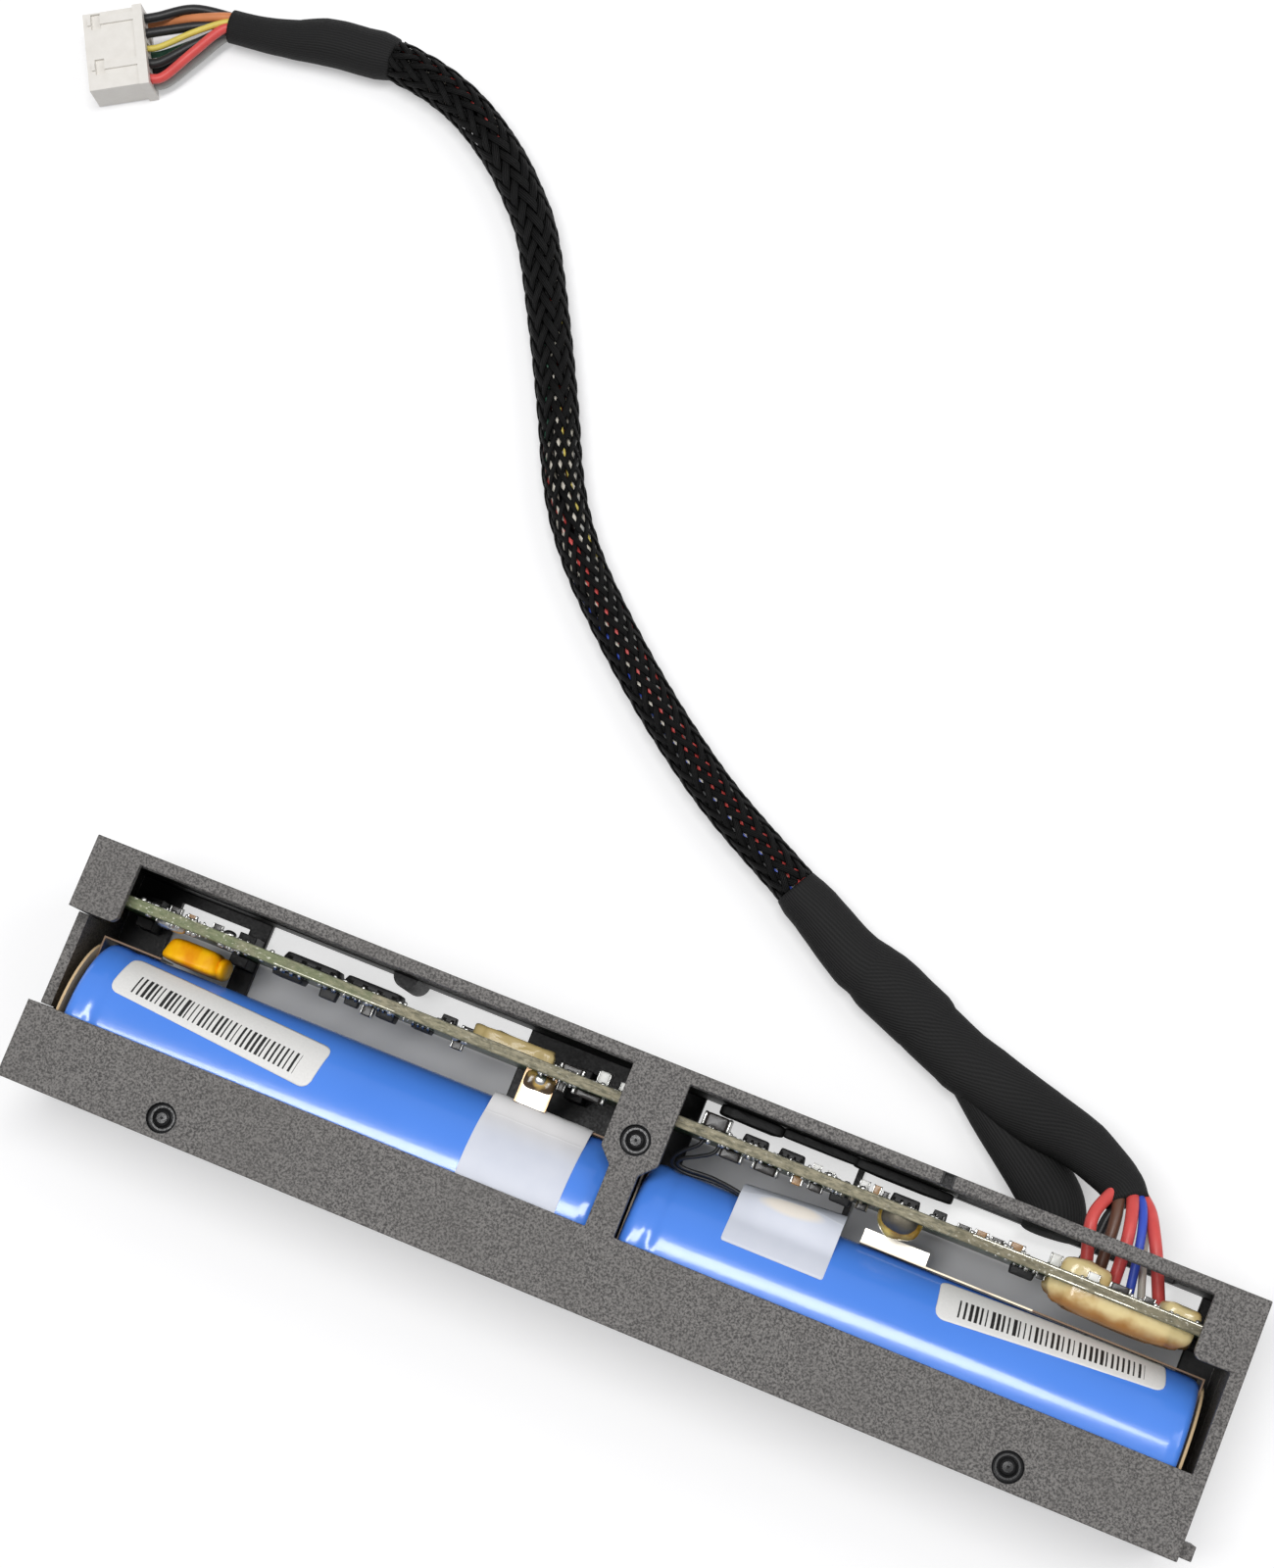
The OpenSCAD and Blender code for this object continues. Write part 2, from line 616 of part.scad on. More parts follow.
label_from_end = 17.3;
label_turn = 5;
label_left_angle = 38;
label_right_angle = 57;
tape_left_at = 10.4;
tape_right_at = 16.9;
thermistor_r = 0.9;
thermistor_angle = 62;

module label_left() color(paper_white)
    on_cell(left_cell_x + label_from_end, label_left_angle)
        film(label_l + 4, label_t) rotate(-label_turn) round_rectangle(label_l, label_w, 1.2);

module label_right() color(paper_white)
    on_cell(right_cell_x + cell_l - label_from_end + 0.5, label_right_angle)
        film(label_l + 4, label_t) rotate(label_turn) round_rectangle(label_l, label_w, 1.2);

module tape_left() color([0.85, 0.87, 0.9, 0.5])
    on_cell(left_cell_x + cell_l - tape_left_at, 40) film(tape_w + 2, tape_t) square([tape_w, 15], center = true);

module tape_right() color([0.85, 0.87, 0.9, 0.5])
    on_cell(right_cell_x + tape_right_at, 52) film(tape_w + 2, tape_t) square([tape_w, 9], center = true);

// Small sensing bead that lies along the right cell on the tape
module thermistor() color(paper_white)
    on_cell(right_cell_x + tape_right_at - 2.5, thermistor_angle)
        translate([0, 0, cell_r + tape_t + thermistor_r]) rotate([0, 90, 0]) union() {
            cylinder(h = 5, r = thermistor_r);
            sphere(thermistor_r);
        }

// A point beside the right cell: from its left end, round it from the crest, and out from its sleeve
function beside_cell(from_end, angle, out) =
    [right_cell_x + from_end, cell_y + (cell_r + out) * sin(angle), cell_z + (cell_r + out) * cos(angle)];

lead_wire_d = 0.6;
lead_from = board_y - 0.4;
lead_routes = [
    [[right_cell_x + 3.3, lead_from, board_top - 3.2], beside_cell(5, 65, 3.2), beside_cell(8.2, 60, 2.4),
        beside_cell(11.4, 60, 1.4)],
    [[right_cell_x + 4.8, lead_from, board_top - 5.2], beside_cell(6.4, 75, 3), beside_cell(8.9, 69, 2.2),
        beside_cell(11.4, 66, 1.4)]];

module thermistor_leads() color(cloth_black)
    for (r = lead_routes) tube(r, lead_wire_d / 2, lead_wire_d / 2);

// ---------------------------------------------------------------- lead

// Routes of the wires from the board through the wall and out to the mouth of the cloth wrap
wire_from = board_y + board_t + 0.05;
red_routes = [
    [[51.4, wire_from, 12.6], [50, 14.6, 13], [49.7, 17, 12.5], [50.5, 19.6, 10.7]],
    [[54, wire_from, 12.6], [54, 14.6, 13], [53.6, 17.6, 12.4], [53.1, 19.8, 11]],
    [[59.6, wire_from, 12.2], [57.5, 14.6, 12.6], [56.1, 17.4, 12], [55.2, 19.4, 10.3]]];
brown_route = [[52.6, wire_from, 11], [52.5, 14.6, 11.8], [52.4, 17.4, 11.8], [51.8, 19.7, 10.9]];
blue_route = [[56, wire_from, 12.8], [55.3, 14.6, 13.1], [54.7, 17.6, 12.3], [54.2, 19.7, 10.9]];
white_route = [[57.8, wire_from, 10.8], [56.2, 14.6, 11], [55.1, 17.3, 10.7], [53.9, 19.2, 9.8]];
black_route = [[50, wire_from, 9.6], [51.3, 14.6, 9.8], [51.6, 17, 9.6], [51.7, 19, 9.5]];

// The way the mouth of the cloth wrap faces, which the wires run into
mouth_way = [0, 0.9, -0.44];

module exit_wires_red() color("firebrick") for (r = red_routes) wire(r, wire_d, mouth_way);
module exit_wire_brown() color("saddlebrown") wire(brown_route, wire_d, mouth_way);
module exit_wire_blue() color("royalblue") wire(blue_route, thin_wire_d, mouth_way);
module exit_wire_white() color("white") wire(white_route, thin_wire_d, mouth_way);
module exit_wire_black() color(cloth_black) wire(black_route, wire_d, mouth_way);

// Route of the lead: down from the wall to the surface it lies on, then round to the plug
wrap_route = [[52.7, 19.6, 10.2], [51.4, 21.4, 9.2], [48.6, 22.8, 7.8], [44.8, 24.2, 6.2], [41, 25.2, 4.6],
    [36.4, 26.4, 3.2], [30.4, 28.4, 2.6], [24.4, 30.9, 2.6], [16, 34.3, 2.6], [10.8, 36.6, 2.6], [4.8, 40, 2.8]];
branch_route = [[46.2, 14.8, 5.6], [45.3, 16.9, 4.8], [43.4, 18.5, 3.7], [41.8, 19.7, 3.1]];
braid_route = [[4.8, 40, 2.8], [-6.5, 46, 2.8], [-14.4, 51.2, 2.8], [-21.2, 56.4, 2.8], [-27.6, 61.9, 2.8],
    [-32.8, 66.9, 2.8], [-36.8, 71.8, 2.8], [-39.8, 76.7, 2.8], [-43.2, 83.6, 2.8], [-47.8, 92.4, 2.8],
    [-53.8, 103, 2.8], [-58, 108, 2.8], [-62.4, 111.9, 2.8], [-67.9, 115.4, 2.8], [-73.4, 117.5, 2.8],
    [-79.5, 118.6, 2.8]];
end_wrap_route = [[-79.5, 118.6, 2.8], [-88.3, 117.8, 2.8], [-95.2, 116.3, 2.8], [-100.6, 115.6, 2.8]];
wrap_to_braid = [-0.87, 0.5, 0];
braid_to_end = [-1, 0.03, 0];

module cloth_wrap() color(cloth_black) tube(wrap_route, wrap_w / 2, wrap_h / 2, 12, mouth_way, wrap_to_braid);
module branch_wrap() color(cloth_black)
    tube(branch_route, wrap_w / 2, wrap_h / 2, 12, [0, 1, 0], [-0.15, 1, 0]);
module braided_sleeve() color([0.15, 0.15, 0.16])
    tube(braid_route, braid_d / 2, braid_d / 2, 10, wrap_to_braid, braid_to_end);
module end_wrap() color(cloth_black) tube(end_wrap_route, braid_d / 2, braid_d / 2, 10, braid_to_end);

// The plug: where its back face is, how it is turned, and its holes
plug_at = [-109.2, 109.1];
plug_turn = 29;
plug_rows = 2;
plug_cols = 5;
plug_pitch = 2;
row_pitch = 2;
hole_w = 1.3;
contact_w = 0.9;
collar_lip = 0.2;
latch_at_y = [-2.6, 3.4];

// Middle of a wire hole in the plug, across it from its own middle and up from the surface
function plug_hole(col, row) = [(col - (plug_cols - 1) / 2) * plug_pitch, plug_h / 2 + (row - 0.5) * row_pitch];

module place_plug() translate([plug_at[0], plug_at[1], 0]) rotate(plug_turn) children();

module plug_housing() color([0.87, 0.86, 0.82]) place_plug() difference() {
    union() {
        box([-plug_l, -plug_w / 2, 0.3], [0, plug_w / 2, plug_h - 0.3]);
        // collar at the wire end, and two latch ridges on top
        box([-1.2, -plug_w / 2 - collar_lip, 0], [0, plug_w / 2 + collar_lip, plug_h]);
        for (y = latch_at_y) box([-plug_l + 0.6, y, plug_h - 0.5], [-1, y + 1, plug_h]);
    }
    for (c = [0:plug_cols - 1], r = [0:plug_rows - 1])
        let (h = plug_hole(c, r))
            box([-plug_l - 1, h[0] - hole_w / 2, h[1] - hole_w / 2], [1, h[0] + hole_w / 2, h[1] + hole_w / 2]);
    // latch windows beside the ridges
    for (y = latch_at_y) box([-plug_l + 1, y - 0.5, plug_h - 0.7], [-plug_l + 2.2, y + 1.5, plug_h + 1]);
}

// Sprung contacts in the plug's holes
module plug_contacts() color([0.8, 0.65, 0.3]) place_plug()
    for (c = [0:plug_cols - 1], r = [0:plug_rows - 1])
        let (h = plug_hole(c, r))
            box([-plug_l + 0.6, h[0] - contact_w / 2, h[1] - contact_w / 2],
                [-0.6, h[0] + contact_w / 2, h[1] + contact_w / 2]);

// A wire from a hole at the back of the plug to the mouth of the end wrap, where it lies side mm across
// and up mm above its middle
wrap_mouth = [-100.8, 115.6, 2.8];
mouth_turn = [1, 0.16, 0];
module plug_wire(col, row, side, up, d = wire_d) {
    h = plug_hole(col, row);
    out = [cos(plug_turn), sin(plug_turn), 0];
    across = [-sin(plug_turn), cos(plug_turn), 0];
    back = [plug_at[0], plug_at[1], h[1]] + across * h[0] - 0.4 * out;
    tube([back, back + 1.6 * out, wrap_mouth + [-0.16 * side, side, up]], d / 2, d / 2, 8, out, mouth_turn);
}

module plug_wires_black() color(cloth_black) {
    plug_wire(4, 0, 2, -0.4);
    plug_wire(3, 1, 1, 0.3);
    plug_wire(1, 0, -0.7, -1.5);
    plug_wire(1, 1, -1, 0.4);
}
module plug_wire_orange() color("darkorange") plug_wire(4, 1, 1.1, 1.6);
module plug_wire_grey() color("lightgrey") plug_wire(0, 0, -2.1, -0.6);
module plug_wire_yellow() color("gold") plug_wire(2, 1, -0.2, 1.6, thin_wire_d);
module plug_wire_green() color("seagreen") plug_wire(2, 0, 0.1, -0.7, thin_wire_d);
module plug_wire_red() color("crimson") plug_wire(0, 1, -1.4, 1.6);

tray();
cover();
cell_left_can();
cell_left_sleeve();
cell_right_can();
cell_right_sleeve();
button_washers();
end_papers();
positive_strip();
bridge_strip();
centre_tap_tab();
negative_strip();
thermal_cutoff();
circuit_board();
control_chips();
power_transistors();
small_transistors();
tan_capacitors();
dark_chip_parts();
white_chip_parts();
solder_joints();
glue_upper();
glue_lower();
wall_sealant();
thermistor();
thermistor_leads();
tape_left();
tape_right();
label_left();
label_right();
exit_wires_red();
exit_wire_brown();
exit_wire_blue();
exit_wire_white();
exit_wire_black();
cloth_wrap();
branch_wrap();
braided_sleeve();
end_wrap();
plug_wires_black();
plug_wire_orange();
plug_wire_grey();
plug_wire_yellow();
plug_wire_green();
plug_wire_red();
plug_housing();
plug_contacts();
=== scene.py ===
# %% [markdown]
# # A battery module with its lead
#
# Two round cells lie end to end in a windowed black holder, with their circuit board on edge beside them. A
# lead leaves one long side: first as loose wires, then under cloth tape, then in an open braid, and it ends
# in a white plug. The imported model gives every place and size. This script adds what the eye looks for:
# soft edges, the braid, the tape, the shrink film on the cells, the small parts on the board, and a finish
# for each surface.
#
# The first cell loads the model. The dressed object has to fit in it.

# %% Load the model
import json
import math

import bpy
import bmesh
import numpy as np
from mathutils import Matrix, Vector

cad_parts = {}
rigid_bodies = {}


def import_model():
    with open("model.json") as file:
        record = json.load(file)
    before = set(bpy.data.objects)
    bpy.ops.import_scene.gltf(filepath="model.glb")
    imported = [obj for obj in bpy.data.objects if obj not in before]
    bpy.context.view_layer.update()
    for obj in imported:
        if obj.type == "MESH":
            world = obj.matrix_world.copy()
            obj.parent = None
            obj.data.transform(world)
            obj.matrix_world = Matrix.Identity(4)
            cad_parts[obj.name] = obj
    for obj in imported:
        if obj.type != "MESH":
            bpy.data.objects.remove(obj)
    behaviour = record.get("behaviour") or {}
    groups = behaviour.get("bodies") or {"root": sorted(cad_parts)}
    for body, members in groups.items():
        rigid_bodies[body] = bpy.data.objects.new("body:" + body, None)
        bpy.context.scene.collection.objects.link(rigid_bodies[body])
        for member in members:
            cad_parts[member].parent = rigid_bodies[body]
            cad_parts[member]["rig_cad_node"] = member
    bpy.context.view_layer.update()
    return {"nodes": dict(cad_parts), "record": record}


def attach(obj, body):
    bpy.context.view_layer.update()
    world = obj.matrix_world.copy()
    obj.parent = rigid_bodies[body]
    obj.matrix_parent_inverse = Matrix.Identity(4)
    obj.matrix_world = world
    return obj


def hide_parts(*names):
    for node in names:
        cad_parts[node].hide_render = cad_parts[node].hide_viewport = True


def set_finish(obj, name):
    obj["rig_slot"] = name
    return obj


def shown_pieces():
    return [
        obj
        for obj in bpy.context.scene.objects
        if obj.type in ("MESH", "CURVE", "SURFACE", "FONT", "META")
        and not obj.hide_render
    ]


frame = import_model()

MM = 0.001

# %% [markdown]
# ## The camera
#
# It looks down from above the holder's right half, a little tilted, with a lens of middle length. A small
# shift to the side does what a view camera does: it frames the object without turning the camera.

# %% Camera
camera_data = bpy.data.cameras.new("camera")
camera = bpy.data.objects.new("camera", camera_data)
bpy.context.scene.collection.objects.link(camera)
bpy.context.scene.camera = camera
camera.location = (0.03235, -0.00204, 0.35994)
camera.rotation_euler = [math.radians(turn) for turn in (9.802, 5.655, 22.087)]
camera_data.sensor_width = 36
camera_data.lens = 70.5
camera_data.shift_x = 0.0375
camera_data.clip_start = 0.01
print("camera", round(camera.location.z / MM), "mm above the floor, with a lens of", camera_data.lens, "mm")

# %% [markdown]
# ## Surfaces from numbers
#
# Most pieces here are surfaces with two parameters: a row counts along the piece and a column counts round
# it or across it. A grid of points becomes a mesh of four-sided faces. Ring ends are closed by one more ring
# that has shrunk to a point, and merging equal points turns that ring into a pole.

# %% Grids and meshes
SAME_POINT = 1e-7  # metres


def grid(points, across, along, closed=True):
    """Faces of a grid points[row, column], with a UV for each corner of each face.
    U is across[column] and V is along[row], both in millimetres. A closed grid joins its last column to its
    first, so across has one value more than there are columns. Normals point to the right of the rows'
    direction, which is outwards on a tube whose rings turn from side to up."""
    rows, columns = points.shape[:2]
    row, column = np.meshgrid(np.arange(rows - 1), np.arange(columns if closed else columns - 1), indexing="ij")
    steps = ((0, 0), (0, 1), (1, 1), (1, 0))
    quads = np.stack([(row + i) * columns + (column + j) % columns for i, j in steps], -1).reshape(-1, 4)
    across, along = np.asarray(across, float), np.asarray(along, float)
    uv = np.stack([np.stack([across[column + j], along[row + i]], -1) for i, j in steps], -2).reshape(-1, 4, 2)
    return points.reshape(-1, 3), quads, uv


def joined(surfaces):
    """Several surfaces as one: each one's corner numbers move up by the points that come before it."""
    starts = np.cumsum([0] + [len(s[0]) for s in surfaces[:-1]])
    return (np.concatenate([s[0] for s in surfaces]),
            np.concatenate([s[1] + start for s, start in zip(surfaces, starts)]),
            np.concatenate([s[2] for s in surfaces]))


def piece(name, surface, slot, replaces=()):
    """Makes one smooth object from a surface given in millimetres, merges equal points, and lets it ride on
    the part."""
    points, quads, uv = surface
    mesh = bpy.data.meshes.new(name)
    mesh.from_pydata((points * MM).tolist(), [], quads.tolist())
    layer = mesh.uv_layers.new(name="surface")
    layer.data.foreach_set("uv", uv.reshape(-1))
    whole = bmesh.new()
    whole.from_mesh(mesh)
    bmesh.ops.remove_doubles(whole, verts=whole.verts, dist=SAME_POINT)
    whole.to_mesh(mesh)
    whole.free()
    mesh.polygons.foreach_set("use_smooth", [True] * len(mesh.polygons))
    made = bpy.data.objects.new(name, mesh)
    bpy.context.scene.collection.objects.link(made)
    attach(made, "root")
    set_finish(made, slot)
    if replaces:
        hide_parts(*replaces)
    print(f"{name}: {len(mesh.polygons)} faces")
    return made

# %% [markdown]
# ## Routes and tubes
#
# A wire is a few given points and one smooth curve through them. The curve is a Catmull-Rom
# spline, then it is cut into equal steps, so that patterns along it don't stretch.

# %% Routes
def smooth_route(points, step):
    """Catmull-Rom curve through points, in equal steps. Between P1 and P2, with P0 before and P3 after them,
    P(t) = (2 P1 + (P2 - P0) t + (2 P0 - 5 P1 + 4 P2 - P3) t^2 + (3 P1 - P0 - 3 P2 + P3) t^3) / 2.
    Columns after the third, such as a width, are carried along in the same way."""
    p = np.asarray(points, float)
    p = np.vstack([2 * p[0] - p[1], p, 2 * p[-1] - p[-2]])
    p0, p1, p2, p3 = p[:-3], p[1:-2], p[2:-1], p[3:]
    t = np.linspace(0, 1, 32, endpoint=False)[:, None, None]
    curve = (2 * p1 + (p2 - p0) * t + (2 * p0 - 5 * p1 + 4 * p2 - p3) * t**2
             + (3 * p1 - p0 - 3 * p2 + p3) * t**3) / 2
    curve = np.vstack([curve.transpose(1, 0, 2).reshape(-1, p.shape[1]), p[-2]])
    gone = np.concatenate([[0], np.cumsum(np.linalg.norm(np.diff(curve[:, :3], axis=0), axis=1))])
    even = np.linspace(0, gone[-1], max(2, round(gone[-1] / step) + 1))
    return even, np.column_stack([np.interp(even, gone, curve[:, k]) for k in range(p.shape[1])])


def frames_along(line):
    """Side and up at each point of a line: the side is level and square to the line, S = (-Ty, Tx, 0) / |.|,
    and up is square to both, U = T x S."""
    way = np.gradient(line, axis=0)
    way /= np.linalg.norm(way, axis=1, keepdims=True)
    side = np.column_stack([-way[:, 1], way[:, 0], np.zeros(len(way))])
    side /= np.linalg.norm(side, axis=1, keepdims=True)
    return way, side, np.cross(way, side)


def tube(line, half_width, half_height, sides, along, power=1.0):
    """Ring at P: P + a |cos v|^p sign(cos v) S + b |sin v|^p sign(sin v) U, for v from 0 to a full turn.
    A power p under 1 makes the ring squarer, like a flat bundle under tape."""
    _, side, up = frames_along(line)
    v = np.linspace(0, 2 * np.pi, sides, endpoint=False)
    a = np.broadcast_to(np.asarray(half_width, float), (len(line),))
    b = np.broadcast_to(np.asarray(half_height, float), (len(line),))
    c, s = (np.sign(f) * np.abs(f)**power for f in (np.cos(v), np.sin(v)))
    rings = (line[:, None] + (a[:, None] * c)[..., None] * side[:, None]
             + (b[:, None] * s)[..., None] * up[:, None])
    rings = np.concatenate([np.repeat(line[:1, None], sides, 1), rings, np.repeat(line[-1:, None], sides, 1)])
    along = np.concatenate([along[:1], along, along[-1:]])
    across = np.linspace(0, 2 * np.pi * (a.mean() + b.mean()) / 2, sides + 1)
    return grid(rings, across, along)

# %% [markdown]
# ## The lead's route
#
# These are the same points as in the model's source. The lead drops from the wall to the surface it lies
# on, runs up and to the left, and bends over at the top to its plug.

# %% The route's points
wrap_route = [[52.7, 19.6, 10.2], [51.4, 21.4, 9.2], [48.6, 22.8, 7.8], [44.8, 24.2, 6.2], [41, 25.2, 4.6],
              [36.4, 26.4, 3.2], [30.4, 28.4, 2.6], [24.4, 30.9, 2.6], [16, 34.3, 2.6], [10.8, 36.6, 2.6],
              [4.8, 40, 2.8]]
braid_route = [[4.8, 40, 2.8], [-6.5, 46, 2.8], [-14.4, 51.2, 2.8], [-21.2, 56.4, 2.8], [-27.6, 61.9, 2.8],
               [-32.8, 66.9, 2.8], [-36.8, 71.8, 2.8], [-39.8, 76.7, 2.8], [-43.2, 83.6, 2.8],
               [-47.8, 92.4, 2.8], [-53.8, 103, 2.8], [-58, 108, 2.8], [-62.4, 111.9, 2.8],
               [-67.9, 115.4, 2.8], [-73.4, 117.5, 2.8], [-79.5, 118.6, 2.8]]
end_wrap_route = [[-79.5, 118.6, 2.8], [-88.3, 117.8, 2.8], [-95.2, 116.3, 2.8], [-100.6, 115.6, 2.8]]
print("points of the route:", len(wrap_route), "+", len(braid_route), "+", len(end_wrap_route))

# %% [markdown]
# ## Cloth tape round the wires
#
# Woven tape is wound round the flat bundle of wires in overlapping turns. The bundle is wider where another
# branch joins it, and each turn of tape ends in a small step. So the tube's two edges get their own table:
# how far the left and the right edge stand out from the route, and how thick the bundle is, at a distance
# along it. The ribs of the cloth run at another angle in each turn. U of this piece is measured square to
# the ribs, so one material can draw them.

# %% Cloth wrap
wrap_edges = np.array([
    # along, left, right, thickness
    [0.0, 2.6, 2.4, 3.4], [2.5, 2.8, 2.3, 3.6], [6.0, 2.9, 2.8, 4.0], [8.5, 3.0, 3.2, 4.3],
    [11.0, 3.2, 3.3, 4.4], [14.5, 3.7, 3.5, 4.5], [18.5, 3.8, 3.7, 4.4], [23.0, 3.8, 3.7, 4.3],
    [26.0, 4.1, 3.5, 4.2], [27.0, 4.0, 3.5, 4.1], [31.2, 4.1, 3.5, 4.2], [32.4, 4.1, 3.9, 4.5],
    [35.0, 4.1, 3.9, 4.6],
    [37.2, 4.1, 4.0, 4.7], [39.2, 4.1, 3.9, 4.8], [40.8, 3.8, 3.6, 4.6], [41.6, 3.8, 3.4, 4.3],
    [42.6, 3.9, 3.25, 4.2], [44.5, 3.6, 3.2, 4.2], [47.5, 3.2, 3.3, 4.4], [50.5, 3.0, 3.2, 4.6],
    [52.5, 3.05, 2.9, 4.8], [54.0, 2.75, 2.6, 4.9]])
wrap_gone, wrap_line = smooth_route(wrap_route, 0.5)
left, right, thick = (np.interp(wrap_gone, wrap_edges[:, 0], wrap_edges[:, k]) for k in (1, 2, 3))
_, wrap_side, _ = frames_along(wrap_line)
wrap_middle = wrap_line + ((left - right) / 2)[:, None] * wrap_side
wrap_middle[:, 2] = np.maximum(wrap_middle[:, 2], thick / 2 + 0.05)
points, quads, uv = tube(wrap_middle, (left + right) / 2, thick / 2, 40, wrap_gone, power=0.8)
turn_ends, rib_turns = [25.8, 41.2], np.radians([14, 26, 4])
angle = rib_turns[np.searchsorted(turn_ends, uv[:, :, 1].mean(axis=1))][:, None]
uv = np.stack([uv[..., 0] * np.cos(angle) + uv[..., 1] * np.sin(angle), uv[..., 1]], -1)
cloth_wrap = piece("cloth_wrap_tape", (points, quads, uv), "cloth_tape", ["cloth_wrap"])

branch_route = [[46.2, 13.4, 6.0, 3.5, 2.3], [46.0, 15.0, 5.5, 3.6, 2.3], [45.0, 16.9, 4.7, 3.65, 2.2],
                [42.8, 18.9, 3.6, 3.6, 2.1], [39.6, 21.2, 2.7, 3.4, 2.0], [35.6, 23.8, 2.3, 3.0, 1.9],
                [31.6, 26.4, 2.2, 2.4, 1.8]]
branch_gone, branch_line = smooth_route(branch_route, 0.5)
branch_wrap = piece("branch_wrap_tape",
                    tube(branch_line[:, :3], branch_line[:, 3], branch_line[:, 4], 32, branch_gone, power=0.8),
                    "cloth_tape", ["branch_wrap"])
print("cloth wrap is", round(wrap_gone[-1], 1), "mm long")

# %% [markdown]
# ## The braided sleeve
#
# The sleeve is woven from flat bundles of stiff black threads: twelve bundles wind to the left and twelve
# to the right, and each passes over two of the others and then under two. Where the sleeve is stretched,
# diamond-shaped gaps open between the bundles and the wires inside show through. So the real thing is
# built: each bundle is a thin ribbon that climbs the tube, and coloured wires lie inside.
#
# Along the sleeve, a bundle turns by an angle of 2 pi / 12 in every 2.75 mm. Its place round the tube is
# k 2 pi / 12 plus or minus that turn. Its distance from the middle rises and falls as
# cos(pi s / 2.75 + pi k - pi / 4), and for those that wind the other way as
# -cos(pi s / 2.75 - pi k + pi / 4). That puts it over two bundles and under two.

# %% Braid
BUNDLES = 12        # that wind each way
DIAMOND = 2.75      # length of a gap along the sleeve, mm
THREADS = 4         # side by side in a bundle
WINDING_R = 2.45    # distance from the middle at which a bundle's width and lean are reckoned
RIBBON_HALF = 0.09  # half of a bundle's thickness
WEAVE_RISE = 0.13   # how far a bundle rises to pass over another
INSIDE_R = 2.12     # how far out the wires inside reach
sleeve_gone, sleeve_line = smooth_route(braid_route, 0.34)
_, sleeve_side, sleeve_up = frames_along(sleeve_line)
ribbon_width = np.interp(sleeve_gone, [0, 6, 30, 40, 47, 50, 62, 66, 76, 86, 90, 100, 103, 119.5],
                         [0.86, 0.82, 0.78, 0.76, 0.72, 0.62, 0.64, 0.84, 0.97, 0.96, 1.12, 1.12, 0.84, 0.82])
sleeve_radius = np.interp(sleeve_gone, [0, 8, 40, 60, 80, 119.5], [2.42, 2.4, 2.36, 2.36, 2.42, 2.42])


def sleeve_point(s, angle, radius):
    """P(s) + radius (cos(angle) S(s) + sin(angle) U(s)), with P, S and U read off the route at distance s."""
    at = [np.interp(s, sleeve_gone, column) for column in (*sleeve_line.T, *sleeve_side.T, *sleeve_up.T)]
    centre, side, up = (np.stack(at[k:k + 3], -1) for k in (0, 3, 6))
    return centre + (radius * np.cos(angle))[..., None] * side + (radius * np.sin(angle))[..., None] * up


def bundle(k, winds):
    """One ribbon of threads: a flat six-cornered section carried along its climb round the sleeve."""
    turn_rate = 2 * np.pi / BUNDLES / DIAMOND
    lean = np.arctan(turn_rate * WINDING_R)
    across = np.array([-1, -0.5, 0.5, 1, 0.5, -0.5])
    out = np.array([0, 1, 1, 0, -1, -1]) * RIBBON_HALF
    s = sleeve_gone[:, None]
    rise = winds * WEAVE_RISE * np.cos(np.pi * s / DIAMOND + winds * np.pi * k - winds * np.pi / 4)
    shift = across * ribbon_width[:, None] / 2
    angle = 2 * np.pi * k / BUNDLES + winds * turn_rate * s + shift * np.cos(lean) / WINDING_R
    points = sleeve_point(np.clip(s - winds * shift * np.sin(lean), 0, sleeve_gone[-1]), angle,
                          sleeve_radius[:, None] + rise + out)
    return grid(points, np.array([0, 0.25, 0.75, 1, 0.75, 0.25, 0]) * THREADS, sleeve_gone)


braid = piece("braided_sleeve_threads", joined([bundle(k, winds) for k in range(BUNDLES) for winds in (1, -1)]),
              "braid", ["braided_sleeve"])

# %% [markdown]
# The wires inside wander a little as they go. Each has its half width and a table of the angle at which it
# lies round the middle, at eleven places from end to end. 0 is the lower left side and 90 is the top, and a
# wire that isn't seen lies at 250 or -60, under the others. The thin ones are the light that a wire's
# shoulder catches. The grey ones are a grey wire that also stands in, as painted highlight, for the glints
# on the sleeve's threads. All of them touch the sleeve from inside.

# %% Wires inside the sleeve
below = [250] * 11
inner_wires = {
    "wire_red": [(0.5, [102, 100, 97, 90, 77, 12, -60, -60, -60, -60, -60]),
                 (0.4, [128, 128, 126, 160, *below[4:]]), (0.4, [*below[:8], 104, 122, 145])],
    "wire_white": [(0.3, [80, 77, 74, 68, 60, 52, -60, -60, -60, -60, -60]),
                   (0.5, [-60, -60, -60, -60, 36, 44, -60, -60, -60, -60, -60]),
                   (0.45, [*below[:4], 124, 84, 88, 200, *below[8:]]),
                   (0.45, [*below[:4], 160, 132, 168, 158, 152, 200, 250])],
    "wire_blue": [(0.28, [71, 68, 65, 54, 0, -60, -60, -60, -60, -60, -60])],
    # a grey wire that also serves as painted highlight for the glints on the threads
    "wire_grey": [(0.45, [*below[:1], 150, 122, 118, 118, 160, 200, *below[7:]]),
                  (0.45, [*below[:3], 150, 160, 170, 200, *below[7:]])],
    "wire_yellow": [(0.16, [*below[:4], 146, 108, 97, 200, *below[8:]])],
    "wire_green": [(0.28, [-60, -60, -60, -60, -60, 20, 72, 20, -60, -60, -60])],
    "wire_black": [(0.58, [50, 45, 40, 36, 10, 10, 40, 60, 60, 60, 60]),
                   (0.58, [200] * 11), (0.58, [290] * 11)]}
inside_gone = np.linspace(0, sleeve_gone[-1], 150)
